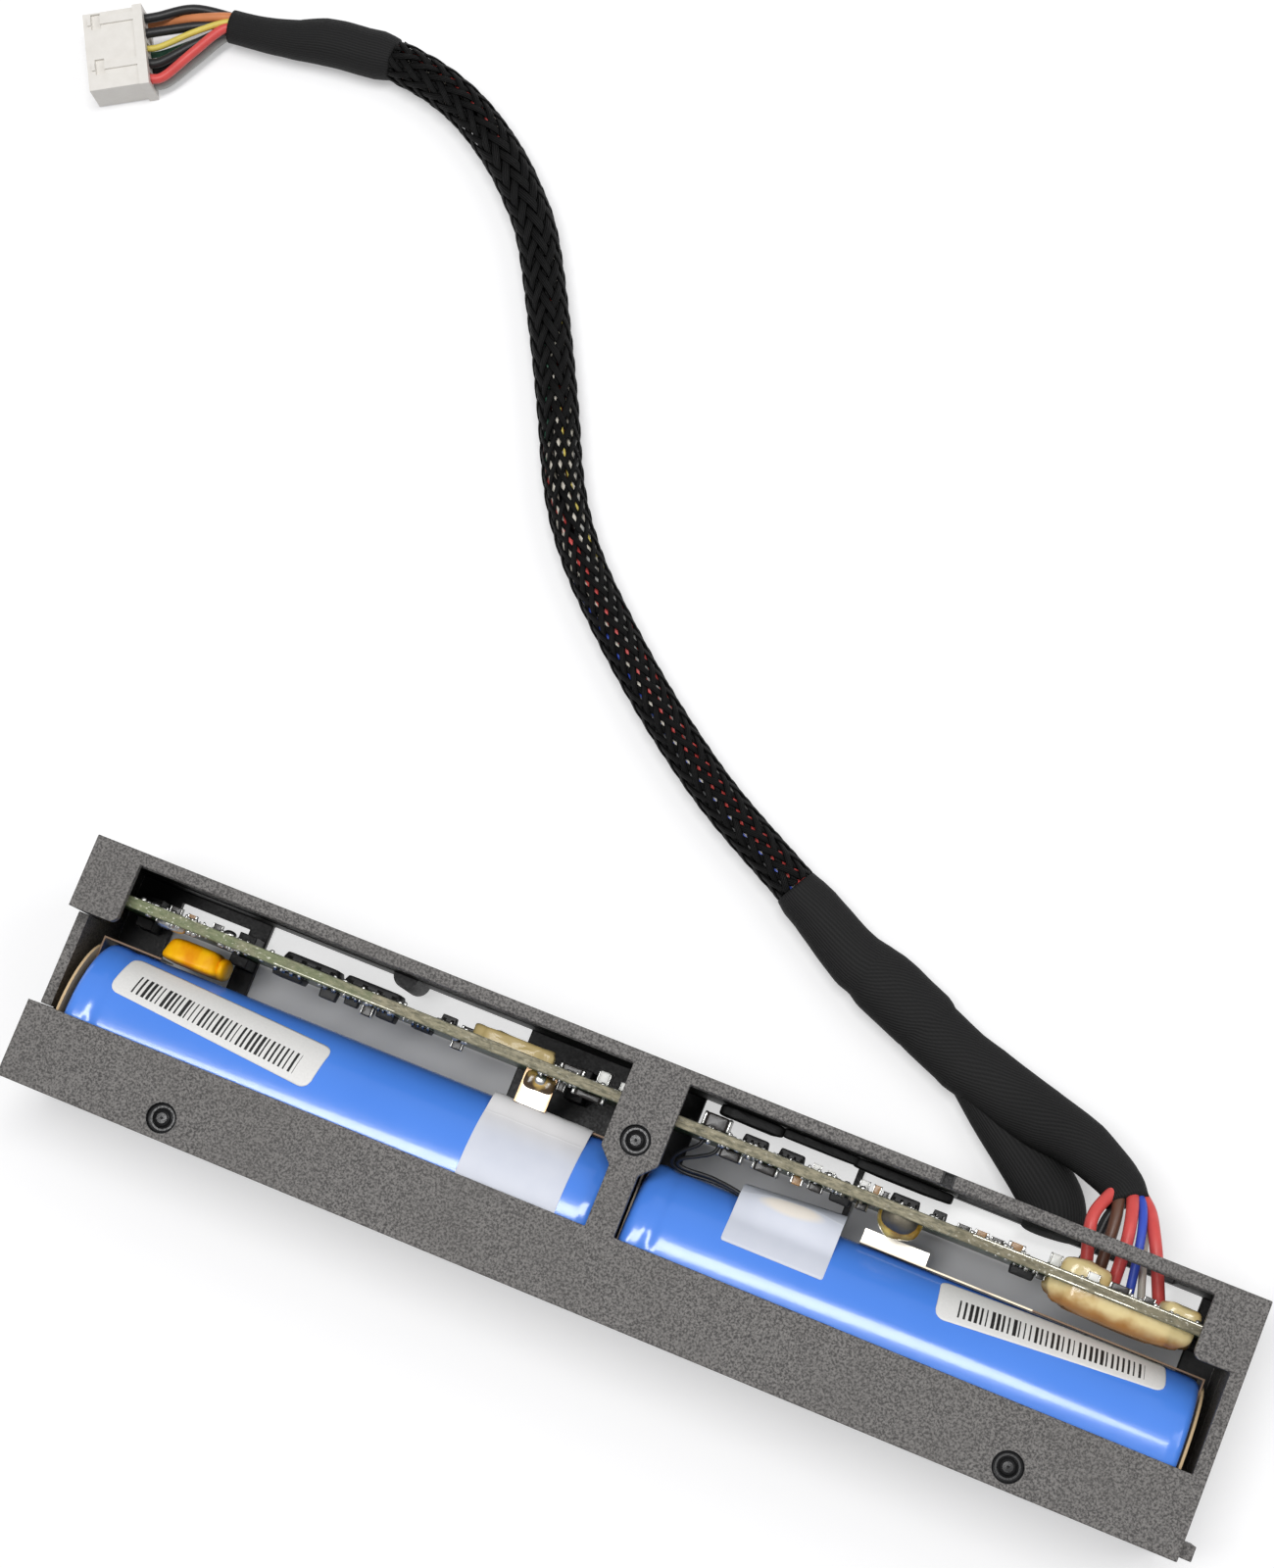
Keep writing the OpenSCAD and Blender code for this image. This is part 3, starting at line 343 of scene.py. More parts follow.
for slot, tables in inner_wires.items():
    wires = []
    for half, table in tables:
        turn = np.radians(np.interp(inside_gone, np.linspace(0, sleeve_gone[-1], len(table)), table))
        line = sleeve_point(inside_gone, turn, np.full(len(turn), INSIDE_R - half))
        wires.append(tube(line, half, half, 10, inside_gone))
    piece(slot + "_in_sleeve", joined(wires), slot)

# %% [markdown]
# ## The tape at the plug's end
#
# A smoother tape holds the end of the sleeve. It is thickest where it overlaps the braid.

# %% End wrap
end_edges = np.array([
    # along, left, right, thickness
    [0.0, 2.62, 2.62, 5.2], [0.8, 2.8, 2.85, 5.4], [2.0, 3.0, 3.1, 5.5], [4.0, 3.0, 3.0, 5.5],
    [7.0, 2.9, 3.1, 5.5], [9.3, 2.9, 3.0, 5.4], [11.3, 2.8, 2.6, 5.0], [12.5, 2.7, 2.35, 4.8],
    [14.5, 2.4, 2.25, 4.6], [18.0, 2.1, 2.1, 4.5], [20.0, 2.0, 2.1, 4.4], [21.4, 1.95, 2.15, 4.4]])
end_gone, end_line = smooth_route(end_wrap_route, 0.4)
left, right, thick = (np.interp(end_gone, end_edges[:, 0], end_edges[:, k]) for k in (1, 2, 3))
_, end_side, _ = frames_along(end_line)
end_middle = end_line + ((left - right) / 2)[:, None] * end_side
end_wrap = piece("end_wrap_tape", tube(end_middle, (left + right) / 2, thick / 2, 32, end_gone), "cloth_tape",
                 ["end_wrap"])

# %% [markdown]
# ## Loose wires
#
# At the holder the wires come out of the wall and run into the mouth of the cloth wrap. At the other end
# they spread out to the holes in the plug. Each is a round tube in a soft coloured sheath.

# %% Wires at the wall
def loose_wires(table):
    """One piece for each colour in the table, of a round tube along each of its routes."""
    for (node, slot, width), routes in table.items():
        tubes = []
        for route in routes:
            gone, line = smooth_route(route, 0.35)
            tubes.append(tube(line, width / 2, width / 2, 16, gone))
        piece(node + "_sheath", joined(tubes), slot, [node])


loose_wires({
    ("exit_wires_red", "wire_red", 1.45): [
        [[51.2, 9.7, 12.6], [49.8, 14.6, 12.9], [49.6, 17, 12.4], [50.5, 19.4, 10.9], [51.2, 20.6, 10.2]],
        [[54.2, 9.7, 12.6], [54, 14.6, 13], [53.6, 17.6, 12.5], [53.1, 19.8, 11.1], [52.6, 20.9, 10.2]],
        [[59.8, 9.7, 12.2], [57.7, 14.6, 12.6], [56.4, 17.4, 12], [55.4, 19.4, 10.3], [54.0, 20.8, 9.4]]],
    ("exit_wire_brown", "wire_brown", 1.4): [
        [[52.4, 9.7, 11], [52.2, 14.6, 11.6], [52.0, 17.4, 11.4], [51.6, 19.7, 10.6], [51.4, 20.9, 10.0]]],
    ("exit_wire_blue", "wire_blue", 1.05): [
        [[56.2, 9.7, 12.8], [55.5, 14.6, 13.1], [54.95, 17.6, 12.3], [54.3, 19.7, 10.9], [53.4, 20.9, 9.9]]],
    ("exit_wire_white", "wire_white", 0.9): [
        [[57.8, 9.7, 10.8], [56.3, 14.6, 11], [55.5, 17.3, 11], [54.6, 19.2, 10.1], [53.4, 20.8, 9.2]]],
    ("exit_wire_black", "wire_black", 1.2): [
        [[50, 9.7, 9.6], [50.9, 14.6, 9.8], [51.2, 17, 9.6], [51.7, 19, 9.5], [51.6, 20.6, 9.0]]]})

# %% [markdown]
# The plug's holes lie in two rows of five, 2 mm apart. A place in the plug is given across it and up from the
# surface, and the plug is turned by 29 degrees. In the mouth of the tape each wire has its own place, so that
# they lie close and don't cut into each other.

# %% Wires at the plug
plug_at, plug_turn = np.array([-109.2, 109.1]), math.radians(29)
plug_out = np.array([math.cos(plug_turn), math.sin(plug_turn), 0])
plug_across = np.array([-math.sin(plug_turn), math.cos(plug_turn), 0])
HOLE_PITCH, PLUG_MIDDLE = 2, 2.8
mouth_middle = np.array([-100.7, 115.6, 2.8])
mouth_across = np.array([0.29, 0.957, 0])


def plug_wire(column, row, side, up, bow=(0, 0, 0)):
    """A wire from a hole at the back of the plug to its place in the mouth of the end wrap. The bow moves
    the wire's middle, for those that don't run straight."""
    middle_hole = np.array([*plug_at, PLUG_MIDDLE + (row - 0.5) * HOLE_PITCH])
    back = middle_hole + plug_across * (column - 2) * HOLE_PITCH - 0.4 * plug_out
    straight = back + 2.0 * plug_out
    mouth = mouth_middle + side * mouth_across + [0, 0, up]
    inside_tape = mouth_middle + [2.4, 0.3, 0] + 0.7 * (side * mouth_across + [0, 0, up])
    return [back, straight, (straight + mouth) / 2 + bow, mouth, inside_tape]


loose_wires({
    ("plug_wires_black", "wire_black", 1.2): [
        plug_wire(4, 1, 1.3, 0.0, (-0.8, 0.95, 0.0)), plug_wire(3, 1, 0.35, 0.35, (0, 0.2, 0)),
        plug_wire(1, 0, -0.6, -1.35), plug_wire(1, 1, -0.75, 0.2, (0, 0.2, 0.2))],
    ("plug_wire_orange", "wire_orange", 1.2): [plug_wire(4, 0, 0.85, 1.3, (0.2, 0.1, 0.6))],
    ("plug_wire_grey", "wire_grey", 1.2): [plug_wire(0, 0, -1.2, -0.75)],
    ("plug_wire_yellow", "wire_yellow", 0.8): [plug_wire(2, 1, 0.1, 1.45, (0, 0.2, 0.3))],
    ("plug_wire_green", "wire_green", 0.8): [plug_wire(2, 0, 0.4, -0.9)],
    ("plug_wire_red", "wire_red", 1.2): [plug_wire(0, 1, -0.95, 1.35, (0, -0.2, 0.4))]})

# %% [markdown]
# ## The shrink film on the cells
#
# Each cell is wrapped in a thin blue film that was shrunk on with heat. It follows the can, sinks a little
# into the groove near the button end, and folds in over both ends with small radial wrinkles. The film is a
# profile turned about the cell's axis, with the wrinkles added as a wave round it.

# %% Shrink film
CELL_R, CELL_Y, CELL_Z = 9.175, -5.025, 10.425
LEFT_CELL, RIGHT_CELL = -66.6, 1.6
ROUND_CELL = 192  # steps round a cell


def on_cell(x, angle, radius):
    """A point on a cell's side: (x, Y + r sin(angle), Z + r cos(angle)), the angle counted from the crest."""
    x, angle, radius = np.broadcast_arrays(x, angle, radius)
    return np.stack([x, CELL_Y + radius * np.sin(angle), CELL_Z + radius * np.cos(angle)], -1)


def shrink_film(start):
    """Profile (distance from the button end, radius), turned about the axis. Near the groove and the ends
    the radius gets a small wave, depth * sin(count * angle + phase)."""
    profile = np.array([
        [0.7, 5.85], [0.36, 5.9], [0.33, 7.0], [0.36, 7.75], [0.45, 8.35], [0.65, 8.8], [0.95, 9.06],
        [1.4, 9.17], [2.4, CELL_R], [2.7, 9.17], [3.0, 9.13], [3.3, 9.08], [3.6, 9.06], [3.9, 9.08],
        [4.2, 9.13], [4.5, 9.17], [4.8, CELL_R], [63.6, CELL_R], [64.5, 9.1], [64.9, 8.9], [65.1, 8.6],
        [65.15, 8.2], [65.15, 6.8], [65.1, 5.9], [64.8, 5.85]])
    gone = np.concatenate([[0], np.cumsum(np.hypot(*np.diff(profile, axis=0).T))])
    stretches = [(0, 14, 60), (14, gone[-1] - 6, 40), (gone[-1] - 6, gone[-1], 30)]
    fine = np.unique(np.concatenate([np.linspace(*stretch) for stretch in stretches]))
    x, r = (np.interp(fine, gone, profile[:, k]) for k in (0, 1))
    turn = np.linspace(0, 2 * np.pi, ROUND_CELL + 1)[:-1]
    groove, button_end = np.exp(-((x - 3.6) / 1.3)**2), np.exp(-(x - 0.3)**2 / 0.8)
    fold = groove * 0.012 + button_end * 0.035 + np.exp(-(x - 65)**2) * 0.03
    wave = fold[:, None] * np.sin(23 * turn + 5 * np.sin(2 * turn) + start) * (0.6 + 0.4 * np.sin(3 * turn + 1))
    points = on_cell(start + x[:, None], -turn, np.minimum(r[:, None] + wave, CELL_R + 0.02))
    return grid(points, np.linspace(0, 2 * np.pi * CELL_R, ROUND_CELL + 1), x)


for side, start in (("left", LEFT_CELL), ("right", RIGHT_CELL)):
    piece(f"shrink_film_{side}", shrink_film(start), "sleeve_blue", [f"cell_{side}_sleeve"])

# %% [markdown]
# ## Labels and tapes on the cells
#
# A paper label and a patch of clear tape lie on each cell. Each is a flat sheet with rounded corners that is
# bent round the cell: a step across the sheet becomes an angle round the axis. The sheet's U and V are its
# own length and width, so a material can print plain bars on it.

# %% Sheets bent round a cell
def sheet_on_cell(length, width, corner, x, angle, turned=0.0, lift=0.03, thick=0.06, bulge=None):
    """Rows run along the sheet from -length/2 to length/2. The half width at a row is width/2, less the
    corner's circle near both ends: w = width/2 - c + sqrt(c^2 - d^2). Turned by an angle in its own plane,
    a point (u, v) lands at x + u' along the cell and at angle + v' / R round it. The thin wall round the
    sheet gets a U and V far off, where no pattern is."""
    columns, far_off = 25, 1000
    end, inner = length / 2, length / 2 - corner
    u = np.unique(np.concatenate([np.linspace(-end, -end + corner, 9), np.linspace(-end + corner, inner, 40),
                                  np.linspace(inner, end, 9)]))
    into = np.maximum(np.abs(u) - inner, 0)
    half = width / 2 - corner + np.sqrt(np.maximum(corner**2 - into**2, 0))
    u2, v2 = np.broadcast_arrays(u[:, None], half[:, None] * np.linspace(-1, 1, columns))
    along = u2 * np.cos(turned) - v2 * np.sin(turned)
    round_ = u2 * np.sin(turned) + v2 * np.cos(turned)
    height = np.full(u2.shape, CELL_R + lift)
    if bulge is not None:
        height = height + bulge(u2, v2)
    top, under = (on_cell(x + along, angle + round_ / CELL_R, height + more) for more in (thick, 0))
    quads = grid(top, np.arange(columns), u, closed=False)[1]
    uv = np.stack([u2, v2], -1).reshape(-1, 2)[quads]
    last = len(u) - 1
    rim = np.concatenate([np.arange(columns), np.arange(1, last + 1) * columns + columns - 1,
                          last * columns + np.arange(columns - 2, -1, -1),
                          np.arange(last - 1, 0, -1) * columns])
    top, under = top.reshape(-1, 3), under.reshape(-1, 3)
    points, wall, wall_uv = grid(np.stack([top[rim], under[rim]]), np.arange(len(rim) + 1), [0, 0.1])
    return joined([(top, quads[:, ::-1], uv[:, ::-1]), (under, quads, uv),
                   (points, wall, np.full_like(wall_uv, far_off))])

# %% [markdown]
# The labels are stiff paper that lies close to the film all over. They were put on by hand, so each is
# turned by a few degrees.

# %% Paper labels
for side, x, angle, turned in (("left", LEFT_CELL + 17.3, 38, -5), ("right", RIGHT_CELL + 48.2, 57, 5)):
    piece(f"paper_label_{side}", sheet_on_cell(26, 6.4, 1.2, x, math.radians(angle), math.radians(turned)),
          "label_paper", [f"label_{side}"])

# %% [markdown]
# Clear tape bridges a hollow instead of following it. The left one spans from the cell to the nickel strip,
# and the right one covers the sensor. So each gets a bulge: how high it stands off the cell at a place on
# the sheet.

# %% Clear tapes
def over_sensor(u, v):
    """The right tape's edge towards the board stands off the cell, more so at its right end: from v = -1.4
    on, by (1.5 + 0.075 (u + 6)) (1 - exp(-((v + 1.4) / 2.3)^2)). The sensor's bead lifts it further, by
    0.75 exp(-(u / 4.6)^4 - ((v - 1.4) / 1.5)^2)."""
    free = np.where(v > -1.4, 1 - np.exp(-((v + 1.4) / 2.3)**2), 0)
    return (1.5 + 0.075 * (u + 6)) * free + 0.75 * np.exp(-(u / 4.6)**4 - ((v - 1.4) / 1.5)**2)


def over_strip(u, v):
    """The left tape bridges from the cell to the strip's edge and down its outside: it rises by 0.82 mm from
    v = 1.6 to 5.1 and sinks by 0.4 mm from there to 7.5, with smooth steps 3 t^2 - 2 t^3."""
    rise, fall = np.clip((v - 1.6) / 3.5, 0, 1), np.clip((v - 5.1) / 2.4, 0, 1)
    return 0.82 * (3 * rise**2 - 2 * rise**3) - 0.4 * (3 * fall**2 - 2 * fall**3) + 0.02 * np.sin(u * 2 + v)


for side, width, x, angle, bulge in (("left", 15, LEFT_CELL + 55.1, 40, over_strip),
                                     ("right", 9, RIGHT_CELL + 16.9, 52, over_sensor)):
    piece(f"clear_tape_{side}", sheet_on_cell(12, width, 0.3, x, math.radians(angle), 0, 0.02, 0.05, bulge),
          "clear_tape", [f"tape_{side}"])

# %% [markdown]
# ## Softened plastic
#
# Moulded parts have no knife edges. The holder's two halves keep the model's shape, but a narrow bevel
# rounds their longer edges. A model node comes as loose triangles, so a copy is merged and its flat areas
# are joined first. The plug is so small that it stays as the model has it.

# %% Softened copies
SHARP = math.radians(35)  # edges that turn by more than this get a bevel
LONG_ENOUGH = 6           # shortest edge to be rounded, in widths of the bevel
NOTCH_X = 33.3            # middle of the little notch in the rail
SAME_CORNER = 1e-6        # metres
record_slot = {row["node"]: row["material_slot"] for row in frame["record"]["subparts"]}


def softened(name, node, width):
    """A copy of a node whose doubles are merged and whose flat areas are divided anew. A Bevel modifier
    rounds its sharp edges, but not the short facets of a round recess, nor those that end at the rail's
    notch. Every face is shaded flat, so that no long thin triangle borrows its neighbour's slope."""
    made = frame["nodes"][node].copy()
    made.data = made.data.copy()
    made.name = made.data.name = name
    for key in list(made.keys()):
        del made[key]
    made.parent = None
    bpy.context.scene.collection.objects.link(made)
    whole = bmesh.new()
    whole.from_mesh(made.data)
    bmesh.ops.remove_doubles(whole, verts=whole.verts, dist=SAME_CORNER)
    bmesh.ops.dissolve_limit(whole, angle_limit=math.radians(0.5), verts=whole.verts, edges=whole.edges)
    bmesh.ops.triangulate(whole, faces=whole.faces)
    weight = whole.edges.layers.float.new("bevel_weight_edge")
    for edge in whole.edges:
        sharp = edge.calc_face_angle(0) > SHARP
        at_notch = any(abs(v.co.x / MM - NOTCH_X) < 0.8 and v.co.y / MM > 13 for v in edge.verts)
        edge[weight] = float(sharp and not at_notch and edge.calc_length() > LONG_ENOUGH * width * MM)
    whole.to_mesh(made.data)
    whole.free()
    rounded = made.modifiers.new("rounded", "BEVEL")
    rounded.width = width * MM
    rounded.segments = 2
    rounded.limit_method = "WEIGHT"
    rounded.use_clamp_overlap = False
    made.data.polygons.foreach_set("use_smooth", [False] * len(made.data.polygons))
    made.hide_render = made.hide_viewport = False
    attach(made, "root")
    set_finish(made, record_slot[node])
    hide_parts(node)
    print(f"{name}: {len(made.data.polygons)} faces before rounding")


softened("tray_softened", "tray", 0.12)
softened("cover_softened", "cover", 0.14)

# %% [markdown]
# ## Small parts on the board
#
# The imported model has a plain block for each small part. What the eye sees along the board's edge is richer:
# moulded bodies that narrow outwards, bent tin legs, bright metal caps, and blobs of solder at every foot.
# The block of each separate part is read from the model, and a softer shape is built in its place. So these
# shapes stay where the model puts them.

# %% Where each small part stands
BOARD_LOW, BOARD_HIGH, BOARD_TOP = 8.4, 9.7, 18.0


def solids_of(node):
    """Low and high corner, in millimetres, of each separate solid in a node. Equal points are merged, then
    every point takes the lowest label among its neighbours until no label changes."""
    grain = 1e-6  # metres
    mesh = frame["nodes"][node].data
    places = np.empty(3 * len(mesh.vertices), np.float32)
    mesh.vertices.foreach_get("co", places)
    ends = np.empty(2 * len(mesh.edges), np.int32)
    mesh.edges.foreach_get("vertices", ends)
    places, same = np.unique(np.round(places.reshape(-1, 3) / grain).astype(int), axis=0, return_inverse=True)
    first, second = same.ravel()[ends.reshape(-1, 2)].T
    label, before = np.arange(len(places)), None
    while before is None or np.any(label != before):
        before = label.copy()
        lowest = np.minimum(label[first], label[second])
        np.minimum.at(label, first, lowest)
        np.minimum.at(label, second, lowest)
    places = places * grain / MM
    return [(places[label == k].min(axis=0), places[label == k].max(axis=0)) for k in np.unique(label)]


small_parts = {node: solids_of(node) for node in
               ("control_chips", "power_transistors", "small_transistors", "tan_capacitors", "dark_chip_parts",
                "white_chip_parts", "solder_joints", "glue_upper", "glue_lower")}
print({node: len(blocks) for node, blocks in small_parts.items()})

# %% [markdown]
# A soft block is a superellipsoid: an ellipsoid whose cosines and sines are raised to a small power, which
# squares it up and leaves round edges. Its outer side may narrow, as a moulded body does to leave its mould.

# %% Soft blocks and legs
def soft_block(low, high, power=0.25, taper=0.0, out=0, rows=13, columns=24, lumps=0.0, phase=0.0):
    """Centre + (a f(cos p) f(cos q), b f(cos p) f(sin q), c f(sin p)), with f(t) = sign(t) |t|^power.
    With out = 1 or -1, x and z shrink by the taper from the inner to the outer side along y. Lumps are a
    small swelling, 1 + lumps sin(2.3 x + phase) cos(1.9 z - phase)."""
    low, high = np.asarray(low, float), np.asarray(high, float)
    centre, half = (low + high) / 2, (high - low) / 2
    p = np.linspace(-np.pi / 2, np.pi / 2, rows)[:, None]
    q = np.linspace(0, 2 * np.pi, columns, endpoint=False)[None]
    f = [np.sign(t) * np.abs(t)**power for t in (np.cos(p), np.sin(p), np.cos(q), np.sin(q))]
    f[0], f[1] = np.where(np.abs(np.cos(p)) < 1e-9, 0, f[0]), np.broadcast_to(f[1], p.shape)
    unit = np.stack(np.broadcast_arrays(f[0] * f[2], f[0] * f[3], f[1]), -1)
    unit[..., [0, 2]] *= (1 - taper * (1 + out * unit[..., 1:2]) / 2)
    points = centre + half * unit
    swell = 1 + lumps * np.sin(2.3 * points[..., 0] + phase) * np.cos(1.9 * points[..., 2] - phase)
    points = centre + (points - centre) * swell[..., None]
    return grid(points, np.linspace(0, 2 * half[:2].sum(), columns + 1), np.linspace(0, 2 * half[2], rows))


def leg(x, path, width, thick):
    """A flat leg: a path of (y, z) places, as wide as given along x and thick across the path, closed at
    both ends."""
    path = np.asarray(path, float)
    way = np.gradient(path, axis=0)
    way /= np.linalg.norm(way, axis=1, keepdims=True)
    across = np.stack([-way[:, 1], way[:, 0]], -1) * thick / 2
    corners = [(-width / 2, -1), (width / 2, -1), (width / 2, 1), (-width / 2, 1)]
    rings = np.stack([np.column_stack([np.full(len(path), x + dx), path + turn * across])
                      for dx, turn in corners], 1)
    rings = np.concatenate([np.repeat(rings[:1].mean(axis=1, keepdims=True), 4, 1), rings,
                            np.repeat(rings[-1:].mean(axis=1, keepdims=True), 4, 1)])
    return grid(rings, np.arange(5) * 0.3, np.arange(len(rings)) * 0.2)


def behind_board(surface, side, face):
    """Flattens what would come out on the board's other side: y stays within 0.6 mm behind its face."""
    y, deepest = surface[0][:, 1], face - side * 0.6
    surface[0][:, 1] = np.maximum(y, deepest) if side > 0 else np.minimum(y, deepest)
    return surface


def outward(low, high):
    """1 for a part on the lead's side of the board and -1 for one on the cells' side, and the board's face."""
    side = 1 if (low[1] + high[1]) / 2 > (BOARD_LOW + BOARD_HIGH) / 2 else -1
    return side, BOARD_HIGH if side > 0 else BOARD_LOW

# %% [markdown]
# A chip or a transistor is a moulded body between two rows of flat legs. A leg leaves the body, bends down to
# the board, and lies flat on it in a foot of solder. Half of each foot is hidden in the board.

# %% Chips and transistors
metal, bodies = [], {}
for node, legs in (("control_chips", 4), ("power_transistors", 4), ("small_transistors", 2)):
    bodies[node] = []
    for low, high in small_parts[node]:
        side, face = outward(low, high)
        tall = abs(high[1] - face) if side > 0 else abs(face - low[1])
        z_low, z_high = low[2] + 0.65, high[2] - 0.65
        y_near, y_far = face + 0.1 * side, face + side * tall
        bodies[node].append(soft_block([low[0], min(y_near, y_far), z_low],
                                       [high[0], max(y_near, y_far), z_high], 0.18, 0.1, side))
        pitch = (high[0] - low[0]) / legs
        rise = face + side * (tall / 2 if side > 0 else 0.3)
        for k in range(legs):
            x = low[0] + (k + 0.5) * pitch
            for z, way in ((z_high, 1), (z_low, -1)):
                path = [[rise, z - 0.1 * way], [rise, z + 0.12 * way], [face + side * 0.14, z + 0.26 * way],
                        [face + side * 0.08, z + 0.62 * way]]
                metal.append(leg(x, path, pitch * 0.34, 0.14))
                foot_low, foot_high = (0.3, 0.75) if way > 0 else (-0.75, -0.3)
                metal.append(soft_block([x - pitch * 0.26, face - 0.22, z + foot_low],
                                        [x + pitch * 0.26, face + 0.22, z + foot_high], 0.7, rows=7,
                                        columns=10))

# %% [markdown]
# A capacitor or resistor is a small ceramic bar with a metal cap at each end. A cap is a share of the bar's
# length, and it stands in a lump of solder of its own.

# %% Capacitors and resistors
for node, cap_share in (("tan_capacitors", 0.2), ("dark_chip_parts", 0.12), ("white_chip_parts", 0.12)):
    bodies[node] = []
    for low, high in small_parts[node]:
        side, face = outward(low, high)
        cap = cap_share * (high[0] - low[0])
        bodies[node].append(soft_block(low + [cap * 0.8, 0, 0.03],
                                       high - [cap * 0.8, 0.03 * (side > 0), 0.03], 0.2))
        for x0, x1 in ((low[0], low[0] + cap), (high[0] - cap, high[0])):
            metal.append(soft_block([x0, low[1], low[2]], [x1, high[1], high[2]], 0.3))
            metal.append(soft_block([x0 - 0.22, face - 0.2, low[2] + 0.1],
                                    [x1 + 0.22, face + 0.2, high[2] - 0.1], 0.8, rows=7, columns=12, lumps=0.1,
                                    phase=x0))
for node, made in bodies.items():
    piece(node + "_soft", joined(made), record_slot[node], [node])

# %% [markdown]
# Solder also sits on the board in many small blobs, near its edge and round the feet of parts that can't be
# told apart. They are strewn with a fixed seed over the stretches where the board is crowded.

# %% Strewn solder
rng = np.random.default_rng(7)
# from x, to x, number of blobs
crowded = {1: [(-63, -51, 26), (-50, -29, 14), (-27, -20, 9), (-12, -3, 14), (5, 27, 34), (28, 45, 20),
               (50, 66, 10)],
           -1: [(-63, -47, 30), (-46, -27, 16), (-24, -21, 4), (-14, -8, 8), (6, 27, 34), (41, 46, 5)]}
for side, runs in crowded.items():
    face = BOARD_HIGH if side > 0 else BOARD_LOW
    for start, stop, count in runs:
        ranges = ((start, stop), (0.3, 2.6), (0.12, 0.38), (0.1, 0.42))
        for x, drop, size, out in zip(*(rng.uniform(low, high, count) for low, high in ranges)):
            metal.append(soft_block([x - size, face - out, BOARD_TOP - drop - size * 0.8],
                                    [x + size, face + out, BOARD_TOP - drop + size * 0.8], 0.75, rows=7,
                                    columns=10, lumps=0.15, phase=x))
piece("legs_and_solder", joined(metal), "solder")

# %% [markdown]
# The strips and wires are soldered by hand, which leaves larger joints with flux round them. On the nickel
# tab the flux was burnt brown, and only a bead of the solder shows in it.

# %% Joints made by hand
joints, flux = [], []
for low, high in small_parts["solder_joints"]:
    side, face = outward(low, high)
    tall = max(abs(high[1] - face), abs(low[1] - face))
    low, high = np.array([low[0], face - tall, low[2]]), np.array([high[0], face + tall, high[2]])
    large = high[0] - low[0] > 4
    if large:
        joint = soft_block(low + [0.5, 0.75, 1.0], high - [0.5, 0.75, 0], 0.85, rows=17, columns=28, lumps=0.05)
        ring = soft_block(low - [0, 0, 0.3], high - [0, 0, 1.2], 0.9, rows=17, columns=28, lumps=0.06)
        flux.append(behind_board(ring, side, face))
    else:
        joint = soft_block(low, high, 0.8, lumps=0.08)
    joints.append(behind_board(joint, side, face))
joints.append(soft_block([-13.9, 6.9, 13.6], [-12.3, 8.4, 15.05], 0.8, rows=17, columns=28, lumps=0.15))
flux.append(soft_block([-15.0, 6.3, 13.2], [-11.4, 8.45, 14.9], 0.7, rows=17, columns=28, lumps=0.18))
piece("solder_joints_soft", joined(joints), "solder", ["solder_joints"])

# %% [markdown]
# The resin was dropped on the board by hand. Each bead is a block with very round edges and a slow swelling
# and sinking along it, half of it hidden in the board. The long bead behind the board has squarer ends and
# swells more. The flux of the joints has the same finish, so it joins the upper beads in one piece.

# %% Resin beads
for node, power, lumps, beads in (("glue_upper", 0.55, 0.07, flux), ("glue_lower", 0.62, 0.05, [])):
    for low, high in small_parts[node]:
        side, face = outward(low, high)
        tall = max(abs(high[1] - face), abs(low[1] - face))
        square, swell = (0.42, 0.13) if high[0] - low[0] > 9 and side > 0 else (power, lumps)
        bead = soft_block([low[0], face - tall, low[2]], [high[0], face + tall, high[2]], square, rows=21,
                          columns=48, lumps=swell, phase=low[0])
        beads.append(behind_board(bead, side, face))
    piece(node + "_soft", joined(beads), "resin_bead", [node])

# %% [markdown]
# The black sealant along the long wall was pressed out of a nozzle. Each run is a lumpy block with round
# edges, a little uneven in depth.

# %% Sealant
runs = [soft_block(low - [0.4, 0.35, 0], high + [0.4, 0, 0], 0.35, rows=17, columns=60, lumps=0.06,
                   phase=low[0]) for low, high in solids_of("wall_sealant")]
piece("wall_sealant_soft", joined(runs), "sealant", ["wall_sealant"])

# %% [markdown]
# ## The sensor's leads
#
# Two thin black wires come out from under the right tape. They lie along the cell, turn back before the rib
# and rise to the board, on its side towards the cells.

# %% Sensor leads
lead_routes = [
    [[13.6, 3.6, 13.6], [12.3, 4.3, 14.0], [9, 4.7, 13.6], [6, 4.55, 13.4], [4.75, 4.75, 13.6],
     [5.0, 5.45, 14.2], [6.6, 6.3, 14.8], [8.1, 7.3, 15.2], [8.5, 8.6, 15.3]],
    [[13.6, 3.4, 12.7], [12.3, 4.1, 13.1], [9, 4.35, 12.8], [5.8, 4.15, 12.6], [4.2, 4.5, 12.9],
     [4.0, 5.3, 13.6], [4.9, 6.4, 14.5], [6.2, 7.5, 15.1], [6.6, 8.6, 15.2]]]
LEAD_R = 0.23
leads = []
for route in lead_routes:
    gone, line = smooth_route(route, 0.25)
    leads.append(tube(line, LEAD_R, LEAD_R, 12, gone))
piece("thermistor_leads_round", joined(leads), "wire_black", ["thermistor_leads"])

# %% [markdown]
# ## The thermal cut-off
#
# It is a flat metal case wrapped in amber film. The film is pulled round it like the paper of a sweet, and
# its pressed end stands out as a thin fin.

